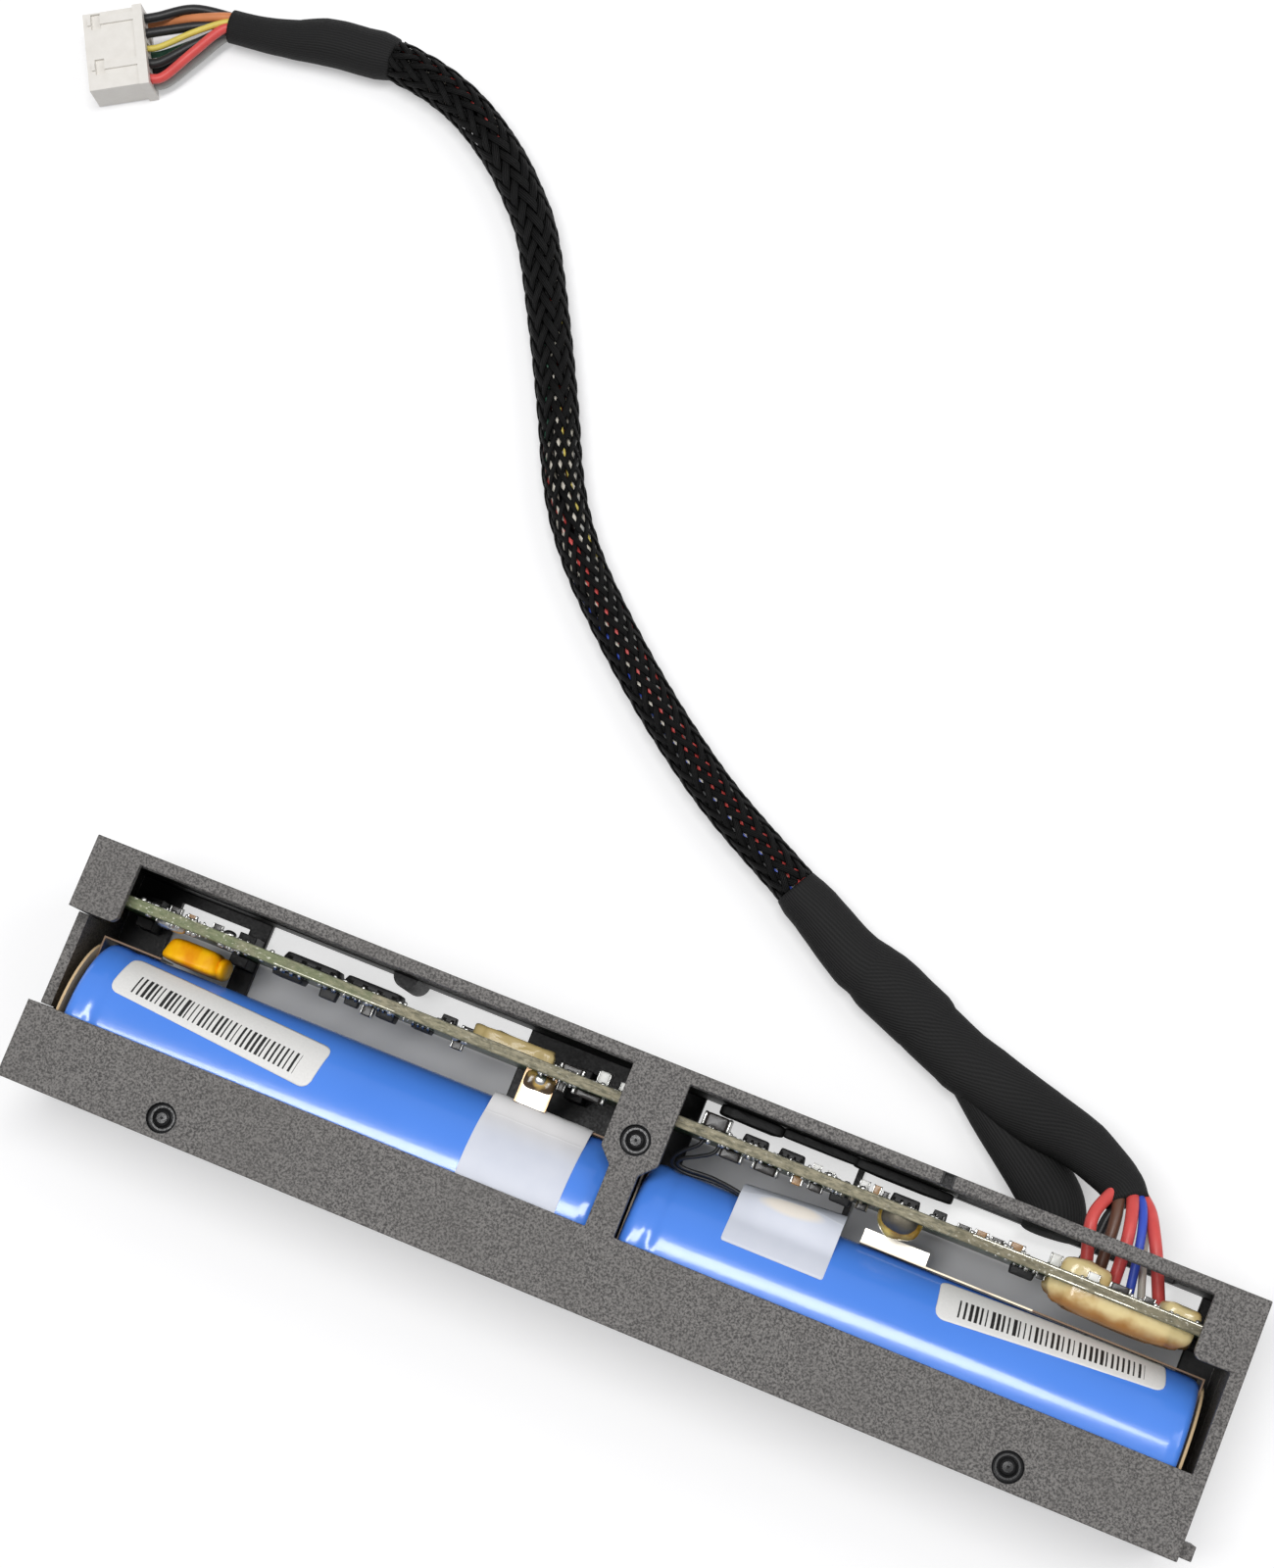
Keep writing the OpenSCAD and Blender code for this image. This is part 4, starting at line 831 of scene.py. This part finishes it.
# %% Wrapped cut-off
(cut_low, cut_high), = solids_of("thermal_cutoff")
case = soft_block(cut_low - [0.5, 0, 0], cut_high - [1.7, 0, 0], 0.42, 0.2, 1, rows=25, columns=48, lumps=0.02)
fin = soft_block(cut_low + [6.2, 0.1, 0.6], cut_high - [1.3, 0.35, 0.6], 0.75, rows=21, columns=36, lumps=0.05)
piece("cutoff_film", joined([case, fin]), "amber_film", ["thermal_cutoff"])

# %% [markdown]
# ## Finishes
#
# A finish is a small tree of shader nodes. To keep the maths readable, one class wraps a socket, and
# arithmetic on it adds Math nodes.

# %% A socket as a number
class Value:
    """A shader socket that can be added, multiplied and compared like a number."""

    def __init__(self, finish, socket):
        self.finish, self.socket = finish, socket

    def _math(self, operation, *numbers):
        return self.finish.node("ShaderNodeMath", {"operation": operation}, dict(enumerate(numbers)))

    def __add__(self, other): return self._math("ADD", self, other)
    def __radd__(self, other): return self._math("ADD", other, self)
    def __sub__(self, other): return self._math("SUBTRACT", self, other)
    def __rsub__(self, other): return self._math("SUBTRACT", other, self)
    def __mul__(self, other): return self._math("MULTIPLY", self, other)
    def __rmul__(self, other): return self._math("MULTIPLY", other, self)
    def __truediv__(self, other): return self._math("DIVIDE", self, other)
    def __gt__(self, other): return self._math("GREATER_THAN", self, other)
    def __lt__(self, other): return self._math("LESS_THAN", self, other)
    def sine(self): return self._math("SINE", self)
    def fraction(self): return self._math("FRACT", self)
    def whole(self): return self._math("FLOOR", self)
    def size(self): return self._math("ABSOLUTE", self)
    def power(self, other): return self._math("POWER", self, other)
    def least(self, other): return self._math("MINIMUM", self, other)
    def most(self, other): return self._math("MAXIMUM", self, other)

    def between(self, low, high): return (self > low) * (self < high)

    def step(self, low, high):
        """0 below low, 1 above high, and a smooth rise between them."""
        return self.finish.node("ShaderNodeMapRange", {"interpolation_type": "SMOOTHSTEP"},
                                {"Value": self, "From Min": low, "From Max": high})

# %% [markdown]
# Another class holds a material and makes all other nodes. Its textures read Object coordinates in
# millimetres, or the piece's own UV map where the pattern follows the surface. A helper makes a finish and
# keeps it under the name of its slot.

# %% A material and its nodes
def shade(red, green, blue):
    """A colour given as the eye sees it, from 0 to 255, turned into the linear values that a shader takes:
    ((c + 0.055) / 1.055)^2.4."""
    c = np.array([red, green, blue]) / 255
    return (*np.where(c <= 0.04045, c / 12.92, ((c + 0.055) / 1.055)**2.4).tolist(), 1.0)


class Finish:
    """A material and its Principled shader, with one method that adds any node."""

    def __init__(self, name, colour, roughness, metallic=0.0, **constants):
        self.material = bpy.data.materials.new(name)
        self.material.use_nodes = True
        self.nodes, self.links = self.material.node_tree.nodes, self.material.node_tree.links
        self.shader = self.nodes["Principled BSDF"]
        self.set("Base Color", colour)
        self.set("Roughness", roughness)
        self.set("Metallic", metallic)
        for socket, value in constants.items():
            self.set(socket.replace("_", " "), value)

    def node(self, kind, settings=None, inputs=None, output=0):
        """Adds a node: its settings first, then its sockets, by number or name, as values or links."""
        made = self.nodes.new(kind)
        for name, value in (settings or {}).items():
            setattr(made, name, value)
        for key, value in (inputs or {}).items():
            self._feed(made.inputs[key], value)
        return Value(self, made.outputs[output])

    def _feed(self, socket, value):
        if isinstance(value, Value):
            self.links.new(value.socket, socket)
        else:
            socket.default_value = value

    def set(self, socket, value):
        self._feed(self.shader.inputs[socket], value)
        return self

    def place(self):
        """Object coordinates in millimetres."""
        where = self.node("ShaderNodeTexCoord", output="Object")
        return self.node("ShaderNodeVectorMath", {"operation": "SCALE"}, {0: where, "Scale": 1000.0})

    def surface(self):
        """The piece's own U and V, in millimetres."""
        return self.parts(self.node("ShaderNodeUVMap", {"uv_map": "surface"}))[:2]

    def parts(self, vector=None):
        """X, Y and Z of a vector, or of the place in millimetres."""
        made = self.node("ShaderNodeSeparateXYZ", None, {0: vector or self.place()})
        return [Value(self, made.socket.node.outputs[k]) for k in range(3)]

    def noise(self, size, detail=2.0, rough=0.5, stretch=None):
        """Noise from 0 to 1 whose lumps are about that many millimetres across. A stretch under 1 makes them
        longer along its axis."""
        where = self.place()
        if stretch:
            where = self.node("ShaderNodeVectorMath", {"operation": "MULTIPLY"}, {0: where, 1: stretch})
        return self.node("ShaderNodeTexNoise", None,
                         {"Vector": where, "Scale": 1 / size, "Detail": detail, "Roughness": rough})

    def blend(self, first, second, share):
        """first where share is 0 and second where it is 1; colours, not numbers."""
        inputs = {"Factor": share, 6: first, 7: second}
        return self.node("ShaderNodeMix", {"data_type": "RGBA"}, inputs, output=2)

    def bump(self, height, depth):
        """Turns a height from 0 to 1 into a dent or ridge that deep, in millimetres."""
        inputs = {"Height": height, "Distance": depth * MM, "Strength": 1.0}
        self.set("Normal", self.node("ShaderNodeBump", None, inputs))


finishes = {}


def finish(name, colour, roughness, metallic=0.0, **constants):
    finishes[name] = Finish(name, colour, roughness, metallic, **constants)
    print("finish:", name)
    return finishes[name]

# %% [markdown]
# ## Moulded plastic and cloth
#
# The holder's mould was spark-eroded, which leaves a fine grain all over. The grain shows as bright and dark
# specks under a soft light, so it needs both a bump and a small change of colour. The inner walls get no
# light between the cells and the board, so they and the rail's little notch are painted darker as shade,
# and the grain is fainter inside. Round marks show where the plastic flowed in.

# %% Holder plastic
holder = finish("holder_plastic", shade(88, 85, 82), 0.55, Specular_IOR_Level=0.45)
grain = holder.noise(0.26, 2, 0.75)
speck = grain.step(0.34, 0.66)
colour = holder.blend(shade(62, 60, 59), shade(122, 119, 116), speck)
colour = holder.blend(colour, shade(92, 89, 86), holder.noise(9, 2).step(0.35, 0.75) * 0.3)
x, y, z = holder.parts()
# Painted shade: the inner walls and the rail's notch are made darker where little light reaches them.
hollow = (x.size() < 68.6) * (y.size() < 13.9) * z.between(0.3, 19.7)
notch = ((x - NOTCH_X).size() < 0.75) * (y > 13.2) * (z > 19)
gate_radius = 1.78
colour = holder.blend(colour, shade(27, 26, 27), hollow.most(notch))


def from_gate(x_gate, y_gate):
    """1 inside the round mark about a place on the face."""
    return ((x - x_gate) * (x - x_gate) + (y - y_gate) * (y - y_gate)).power(0.5) < gate_radius


gate = (from_gate(-50.4, -12.2) + from_gate(0, 5.25) + from_gate(50.1, -12.2)) * (z > 20)
holder.set("Base Color", holder.blend(colour, shade(24, 24, 25), gate))
holder.set("Roughness", 0.62 - 0.16 * speck - 0.2 * gate)
holder.bump(grain * (1 - 0.9 * hollow.most(gate)), 0.08)

# %% [markdown]
# The cloth tape is a tight weave of black threads. Seen close, it is rows of fine ribs, with a thread's
# twist in each. Scuffs catch the light in a few places.

# %% Cloth tape
cloth = finish("cloth_tape", shade(24, 24, 24), 0.72, Specular_IOR_Level=0.3)
u, v = cloth.surface()
rib_pitch, thread_pitch = 0.3, 0.42
rib = (u * (2 * math.pi / rib_pitch)).sine() * 0.5 + 0.5
next_rib = (u * (math.pi / rib_pitch)).whole() * math.pi
thread = (v * (2 * math.pi / thread_pitch) + next_rib).sine() * 0.5 + 0.5
scuff = cloth.noise(2.5, 4, 0.65).step(0.66, 0.82) * cloth.noise(0.4, 2).step(0.45, 0.7)
# Painted shade: the crests of ribs and threads are lighter and the valleys between them darker.
colour = cloth.blend(shade(7, 7, 7), shade(34, 34, 34), rib * 0.6 + thread * 0.25)
cloth.set("Base Color", cloth.blend(colour, shade(78, 78, 76), scuff * 0.3))
cloth.bump(rib * 0.75 + thread * 0.25, 0.05)

# %% [markdown]
# The sleeve's threads are stiff and smooth, with a low sheen. Across a bundle U counts the threads, so a
# rounded bump per whole number draws them.

# %% Braid
braid_finish = finish("braid", shade(12, 12, 12), 0.5, Specular_IOR_Level=0.13)
u, v = braid_finish.surface()
across = u.fraction() - 0.5
roundness = 1 - (across * 2).power(2)
# Painted shade: each thread is lighter along its middle and darker at its sides, as its round form would be
# lit.
braid_finish.set("Base Color", braid_finish.blend(shade(3, 3, 3), shade(15, 15, 15), roundness))
braid_finish.bump(roundness, 0.07)

# %% [markdown]
# ## Film, paper and tape
#
# The blue film is glossy and nearly smooth, with the faint lumps of the steel under it.

# %% Blue film
film = finish("sleeve_blue", shade(78, 140, 236), 0.2, Specular_IOR_Level=0.5, Coat_Weight=0.4,
              Coat_Roughness=0.08)
film.set("Base Color", film.blend(shade(72, 132, 230), shade(88, 146, 244), film.noise(14, 2)))
film.set("Roughness", 0.17 + 0.1 * film.noise(1.3, 3))
film.bump(film.noise(3.5, 3, 0.55, stretch=(0.35, 1, 1)), 0.03)

# %% [markdown]
# A label carries only plain bars along its lower half, with its length along U and its width along V. The
# bars' widths come from a fixed noise on whole steps, so that they look like a code but say nothing.

# %% Label paper
label = finish("label_paper", shade(236, 235, 232), 0.5)
u, v = label.surface()
steps = u / 0.62
pick = label.node("ShaderNodeTexWhiteNoise", {"noise_dimensions": "3D"},
                  {"Vector": label.node("ShaderNodeCombineXYZ", None, {0: steps.whole()})})
inside_bars = (u.size() < 10.6) * v.between(-2.3, 0.35)
bar = (steps.fraction() < 0.2 + 0.5 * pick) * inside_bars
fibres = label.noise(0.3, 3, 0.6)
paper = label.blend(shade(238, 237, 234), shade(222, 221, 218), fibres)
label.set("Base Color", label.blend(paper, shade(38, 37, 37), bar))
label.bump(fibres, 0.012)

# %% [markdown]
# The clear tape looks milky where it bridges a gap, with a crease along it. The right one takes a warm tone
# where it lies over the sensor's bead, and the left one is painted paler towards the board, a painted
# reflection of the metal it lies on.

# %% Clear tape
tape = finish("clear_tape", shade(208, 212, 222), 0.45, Specular_IOR_Level=0.4)
u, v = tape.surface()
crease = (v + 0.25 * tape.noise(3, 2) - 2.1).size().step(0.22, 0.0)
cloudy = tape.noise(4, 3, 0.6)
colour = tape.blend(shade(204, 209, 222), shade(218, 221, 230), cloudy)
colour = tape.blend(colour, shade(230, 232, 238), crease * 0.4)
x, y, z = tape.parts()
right = x > 0
# Painted reflection: the left tape is lightened towards the board, over the nickel strip.
colour = tape.blend(colour, shade(238, 236, 236), y.step(-0.5, 3.0) * (1 - right) * 0.9)
over_bead = ((u * u) * 0.06 + (v - 1.3) * (v - 1.3) * 1.4).step(1.1, 0.3) * right
tape.set("Base Color", tape.blend(colour, shade(240, 228, 208), over_bead * 0.7))
tape.bump(cloudy * 0.5 + crease * 0.5, 0.03)

# %% [markdown]
# The papers under the strips are pressed fibre, tan and dull, with a fine even grain.

# %% Papers under the strips
fish = finish("fish_paper", shade(205, 176, 132), 0.8)
weave = fish.noise(0.25, 3, 0.6)
fish.set("Base Color", fish.blend(shade(188, 156, 112), shade(222, 198, 158), weave))
fish.bump(weave, 0.02)

# %% [markdown]
# ## Metals
#
# Nickel strip, the steel cans, solder and the plug's contacts are plain metals. Rolled strip has fine
# scratches along its length. Its cut upper edge is dull brown, with patches of painted highlight along it
# between x = 0 and 47, and the tab is tinted where it was heated. Solder is bright and lumpy, but duller in
# the large joint made by hand.

# %% Metals
LARGE_JOINT = (23, 34)  # where it stands along X
nickel = finish("nickel", shade(205, 198, 186), 0.28, 1.0)
scratches = nickel.noise(0.5, 4, 0.6, stretch=(0.06, 1, 1))
x, y, z = nickel.parts()
cut_edge = z.between(13.35, 13.5)
# Painted highlight: patches of the cut edge are made bright, as where it catches the lamp.
painted_edge_glint = nickel.noise(7, 2).step(0.3, 0.45) * (x > 0) * (x < 47)
colour = nickel.blend(shade(198, 190, 176), shade(232, 228, 218), scratches)
edge_colour = nickel.blend(shade(112, 88, 66), shade(240, 224, 198), painted_edge_glint)
colour = nickel.blend(colour, edge_colour, cut_edge)
tab = x.between(-15.4, -11.1) * (y > 4.3)
near_joint = (y - 6.2 + nickel.noise(1.0, 2)).step(0.4, 1.2)
heated = (x + 13.2).size().step(1.2, 1.8).most(near_joint) * tab
nickel.set("Base Color", nickel.blend(colour, shade(120, 84, 40), heated * 0.85))
nickel.set("Metallic", 1 - 0.7 * cut_edge)
nickel.set("Roughness", 0.2 + 0.22 * scratches + 0.2 * cut_edge)
nickel.bump(scratches, 0.01)

steel = finish("can_steel", shade(200, 198, 192), 0.3, 1.0)
rubbed = steel.noise(0.8, 4, 0.6)
steel.set("Roughness", 0.22 + 0.2 * rubbed)
steel.bump(rubbed, 0.008)

solder = finish("solder", shade(214, 214, 212), 0.16, 1.0)
lumpy = solder.noise(0.9, 3, 0.6)
x, y, z = solder.parts()
dull = x.between(*LARGE_JOINT) * (y < BOARD_LOW)
colour = solder.blend(shade(160, 160, 158), shade(226, 226, 222), lumpy)
solder.set("Base Color", solder.blend(colour, shade(128, 122, 108), dull))
solder.set("Roughness", 0.22 + 0.25 * lumpy + 0.3 * dull)
solder.bump(lumpy, 0.08)

contacts = finish("contact_brass", shade(205, 170, 96), 0.3, 1.0)
contacts.bump(contacts.noise(0.3, 2), 0.01)

# %% [markdown]
# ## The board and what is on it
#
# The board's faces are covered in dark green lacquer with faint tracks under it. Its upper edge is the cut
# laminate: pale greenish tan with strands of glass, greener at its left end and darker at its right end.
# Solder was smeared along that edge, as bright lines and flecks.

# %% Board
board = finish("board_green", shade(70, 92, 52), 0.35, Specular_IOR_Level=0.5)
upward = board.parts(board.node("ShaderNodeNewGeometry", output="True Normal"))[2]
edge = upward.size() > 0.6
tracks = (board.noise(2.2, 2, 0.5, stretch=(1, 1, 2.2)) - 0.5).size().step(0.05, 0.02)
lacquer = board.blend(shade(52, 78, 44), shade(84, 110, 62), tracks)
strands = board.noise(0.4, 5, 0.75, stretch=(0.3, 1, 1))
x, y, z = board.parts()
laminate = board.blend(shade(90, 88, 68), shade(166, 158, 132), strands.step(0.3, 0.7))
greener = (board.noise(5, 2) - x * 0.012 - 0.22).step(0.5, 0.95) * (0.15 + 0.85 * (x < -34))
laminate = board.blend(laminate, shade(104, 122, 78), greener * 0.6)
laminate = board.blend(laminate, shade(96, 88, 62), (x > 36) * (0.15 + 0.4 * strands))
from_middle = (y - (BOARD_LOW + BOARD_HIGH) / 2).size()
dark_rim = from_middle.step(0.5, 0.62) * (0.5 + 0.5 * board.noise(1.2, 2))
laminate = board.blend(laminate, shade(58, 60, 46), dark_rim)
wet = board.noise(2.6, 3, 0.6, stretch=(0.35, 1, 1))
line = (y - 9.52).size().step(0.06, 0.03) * (x > 38) * (wet > 0.36)
line = line.most((y - 8.62).size().step(0.06, 0.03) * (x > 47) * (wet > 0.52))
line = line.most((y - 8.6).size().step(0.05, 0.02) * x.between(-46, -31) * (wet > 0.45) * 0.7)
fleck = board.noise(0.34, 2, 0.6, stretch=(0.6, 1, 1)).step(0.6, 0.66)
bright = (line + fleck * (0.22 + 0.2 * (x > 36) + 0.3 * (x < -46))).least(1.0) * edge
colour = board.blend(lacquer, laminate, edge)
board.set("Base Color", board.blend(colour, shade(206, 204, 192), bright))
board.set("Metallic", 0.75 * bright)
board.set("Roughness", 0.3 + 0.35 * edge - 0.4 * bright)
board.bump(strands, 0.04)

# %% [markdown]
# Chips are moulded in black resin with a fine dull grain. The chip capacitors and resistors are ceramic.

# %% Chips and ceramics
chips = finish("chip_resin", shade(26, 26, 27), 0.5, Specular_IOR_Level=0.4)
dust = chips.noise(0.25, 3, 0.6)
chips.set("Base Color", chips.blend(shade(17, 17, 18), shade(36, 36, 37), dust))
chips.bump(dust, 0.02)

for name, dark, light in (("tan_ceramic", (140, 98, 52), (190, 146, 92)),
                          ("dark_ceramic", (22, 19, 18), (44, 38, 34)),
                          ("white_ceramic", (214, 214, 208), (240, 240, 236))):
    ceramic = finish(name, shade(*light), 0.32)
    ceramic.set("Base Color", ceramic.blend(shade(*dark), shade(*light), ceramic.noise(0.5, 3)))
    ceramic.bump(ceramic.noise(0.3, 2), 0.01)

# %% [markdown]
# Resin and film are a little see-through on the real thing. Their colour deepens where they are thick, so a
# slow noise moves between a pale and a deep tone. The beads at the right are deeper along their outer rims,
# and those at the left are greyer and duller. The flux round the large joint is golden, and the flux on the
# tab is burnt.

# %% Resin
resin = finish("resin_bead", shade(226, 206, 150), 0.22, Specular_IOR_Level=0.4, Coat_Weight=0.25,
               Coat_Roughness=0.08)
cloud = resin.noise(3.2, 3, 0.5)
x, y, z = resin.parts()
colour = resin.blend(shade(230, 210, 154), shade(200, 164, 98), cloud.step(0.4, 0.75))
colour = resin.blend(colour, shade(176, 156, 104), x < 0)
rim_low = (7.7 - y + 1.6 * (cloud - 0.5)).step(0.0, 1.5)
rim_high = (y - 11.0 + (cloud - 0.5)).step(0.0, 0.7) * (x > 0) * (x < 55)
colour = resin.blend(colour, shade(156, 100, 38), rim_low.most(rim_high) * 0.9)
golden = resin.blend(shade(156, 118, 34), shade(236, 208, 110), cloud.step(0.4, 0.6))
colour = resin.blend(colour, golden, x.between(*LARGE_JOINT) * (y < BOARD_LOW))
burnt = resin.blend(shade(74, 56, 34), shade(214, 178, 100), cloud.step(0.42, 0.6))
on_tab = x.between(-15.6, -11) * (y < 8.5)
resin.set("Base Color", resin.blend(colour, burnt, on_tab))
resin.set("Roughness", 0.22 + 0.3 * (x < 0) * (1 - on_tab))
resin.bump(resin.noise(1.5, 2), 0.1)

# %% [markdown]
# The amber film of the cut-off is painted darker where it turns under, as shade, and is darker at its pressed
# end. Sealant is black and lumpy, and the sensor's bead is cream with a warm cloud.

# %% Film, sealant and sensor
amber = finish("amber_film", shade(232, 150, 18), 0.34, Specular_IOR_Level=0.12)
wraps = amber.noise(1.8, 3, 0.55, stretch=(1, 0.5, 0.5))
x, y, z = amber.parts()
colour = amber.blend(shade(236, 150, 2), shade(255, 194, 20), wraps.step(0.3, 0.7))
# Painted shade on the side that turns under, and a darker pressed end.
shaded = (5.2 - y).step(0.0, 0.7).most((x + 51.4).step(0.0, 0.6))
amber.set("Base Color", amber.blend(colour, shade(150, 74, 4), shaded * 0.7))
amber.bump(wraps, 0.04)

sealant = finish("sealant", shade(16, 16, 16), 0.5, Specular_IOR_Level=0.3)
sealant.bump(sealant.noise(1.2, 3), 0.06)

sensor = finish("sensor_bead", shade(232, 222, 206), 0.4)
sensor.set("Base Color", sensor.blend(shade(236, 228, 214), shade(212, 192, 166), sensor.noise(1.0, 2)))

# %% [markdown]
# ## Wires and plug
#
# A wire's sheath is soft plastic with a dull shine and slight smudges. The plug is nylon, warm white.

# %% Wires and plug
wire_colours = {"wire_red": (226, 84, 80), "wire_brown": (104, 72, 56), "wire_blue": (58, 88, 204),
                "wire_white": (226, 220, 206), "wire_black": (32, 32, 33), "wire_orange": (220, 138, 88),
                "wire_grey": (176, 176, 172), "wire_yellow": (228, 208, 96), "wire_green": (60, 112, 90)}
for name, colour in wire_colours.items():
    sheath = finish(name, shade(*colour), 0.4, Specular_IOR_Level=0.45)
    smudge = sheath.noise(1.8, 3, 0.6)
    darker = shade(*(0.86 * c for c in colour))
    sheath.set("Base Color", sheath.blend(shade(*colour), darker, smudge))
    sheath.set("Roughness", 0.34 + 0.18 * smudge)
    sheath.bump(sheath.noise(0.6, 2), 0.012)

plug = finish("plug_nylon", shade(232, 230, 224), 0.42)
mottle = plug.noise(1.4, 3, 0.6)
plug.set("Base Color", plug.blend(shade(217, 213, 206), shade(233, 230, 224), mottle))
plug.bump(plug.noise(0.5, 3), 0.015)

# %% [markdown]
# Every shown piece takes the finish that its slot in the record names. A model node takes it through its
# own material slots, and its mesh stays as it is.

# %% Dress every piece
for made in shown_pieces():
    from_model = "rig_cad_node" in made
    slot = made.get("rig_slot") or record_slot[made.get("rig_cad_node")]
    if not from_model:
        made.data.materials.clear()
    if not made.material_slots:
        made.data.materials.append(finishes[slot].material)
    for index in range(len(made.material_slots)):
        made.material_slots[index].material = finishes[slot].material

# %% [markdown]
# ## Floor and light
#
# The part lies on a plain white surface under soft light. The floor adds a little light of its own only for
# the camera and for reflections, so that it reads as white paper and still keeps the part's shadow. Far off,
# where the lamps no longer reach, it adds more. Under the cells, where the holder's floor keeps light away,
# it adds almost none, a painted shadow, and in the strip behind the board it adds more, a painted pool of
# light, so that the windows look as deep as they are.

# %% Floor
floor_mesh = bpy.data.meshes.new("floor")
reach = 3  # metres
floor_mesh.from_pydata([(-reach, -reach, 0), (reach, -reach, 0), (reach, reach, 0), (-reach, reach, 0)], [],
                       [(0, 1, 2, 3)])
floor = bpy.data.objects.new("floor", floor_mesh)
bpy.context.scene.collection.objects.link(floor)
white = Finish("white_floor", (0.71, 0.71, 0.712, 1), 0.9, Specular_IOR_Level=0.0)
rays = white.node("ShaderNodeLightPath", output="Is Camera Ray")
glossy = Value(white, rays.socket.node.outputs["Is Glossy Ray"])
through = Value(white, rays.socket.node.outputs["Is Transmission Ray"])
seen = rays.most(glossy).most(through)
east, north, _ = white.parts()
far = (east * east + north * north).power(0.5).step(350, 1000)
# Painted shadow and light on the floor under the part: its glow drops almost to nothing under the cells and
# rises in the strip behind the board.
painted_shadow_under_part = (east.size() < 69) * (north.size() < 14.2)
painted_light_behind_board = (north - 8.0).step(0, 1.6)
own_light = (1 - painted_shadow_under_part) * (0.32 + 0.6 * far) + painted_shadow_under_part * (0.02 + 0.56 * painted_light_behind_board)
white.set("Emission Color", white.blend((0, 0, 0, 1), (1, 1, 1, 1), own_light)).set("Emission Strength", seen)
floor_mesh.materials.append(white.material)
print("floor:", 2 * reach, "m square")

# %% [markdown]
# The room is an even grey to the part and white to the camera. A long lamp overhead draws the bright line
# along the cells, and a weaker one at the side fills in.

# %% Light
world = bpy.data.worlds.new("room")
bpy.context.scene.world = world
world.use_nodes = True
sky = world.node_tree.nodes["Background"]
path = world.node_tree.nodes.new("ShaderNodeLightPath")
tone = world.node_tree.nodes.new("ShaderNodeMix")
tone.data_type = "RGBA"
tone.inputs[6].default_value = (0.38, 0.38, 0.39, 1)
tone.inputs[7].default_value = (1, 1, 1, 1)
world.node_tree.links.new(path.outputs["Is Camera Ray"], tone.inputs["Factor"])
world.node_tree.links.new(tone.outputs[2], sky.inputs["Color"])


def soft_lamp(name, place, aim, width, height, power):
    """An area lamp at a place in metres that faces aim."""
    data = bpy.data.lights.new(name, "AREA")
    data.shape, data.size, data.size_y, data.energy = "RECTANGLE", width, height, power
    lamp = bpy.data.objects.new(name, data)
    bpy.context.scene.collection.objects.link(lamp)
    lamp.location = place
    lamp.rotation_euler = (Vector(aim) - Vector(place)).to_track_quat("-Z", "Y").to_euler()
    print(name, "lamp:", power, "W")


soft_lamp("overhead", (-0.09, 0.11, 1.0), (-0.02, 0.05, 0), 0.7, 0.18, 6.4)
soft_lamp("window", (0.6, 0.5, 0.8), (0, 0.03, 0), 0.5, 0.5, 1.9)
bpy.context.scene.view_settings.view_transform = "Standard"
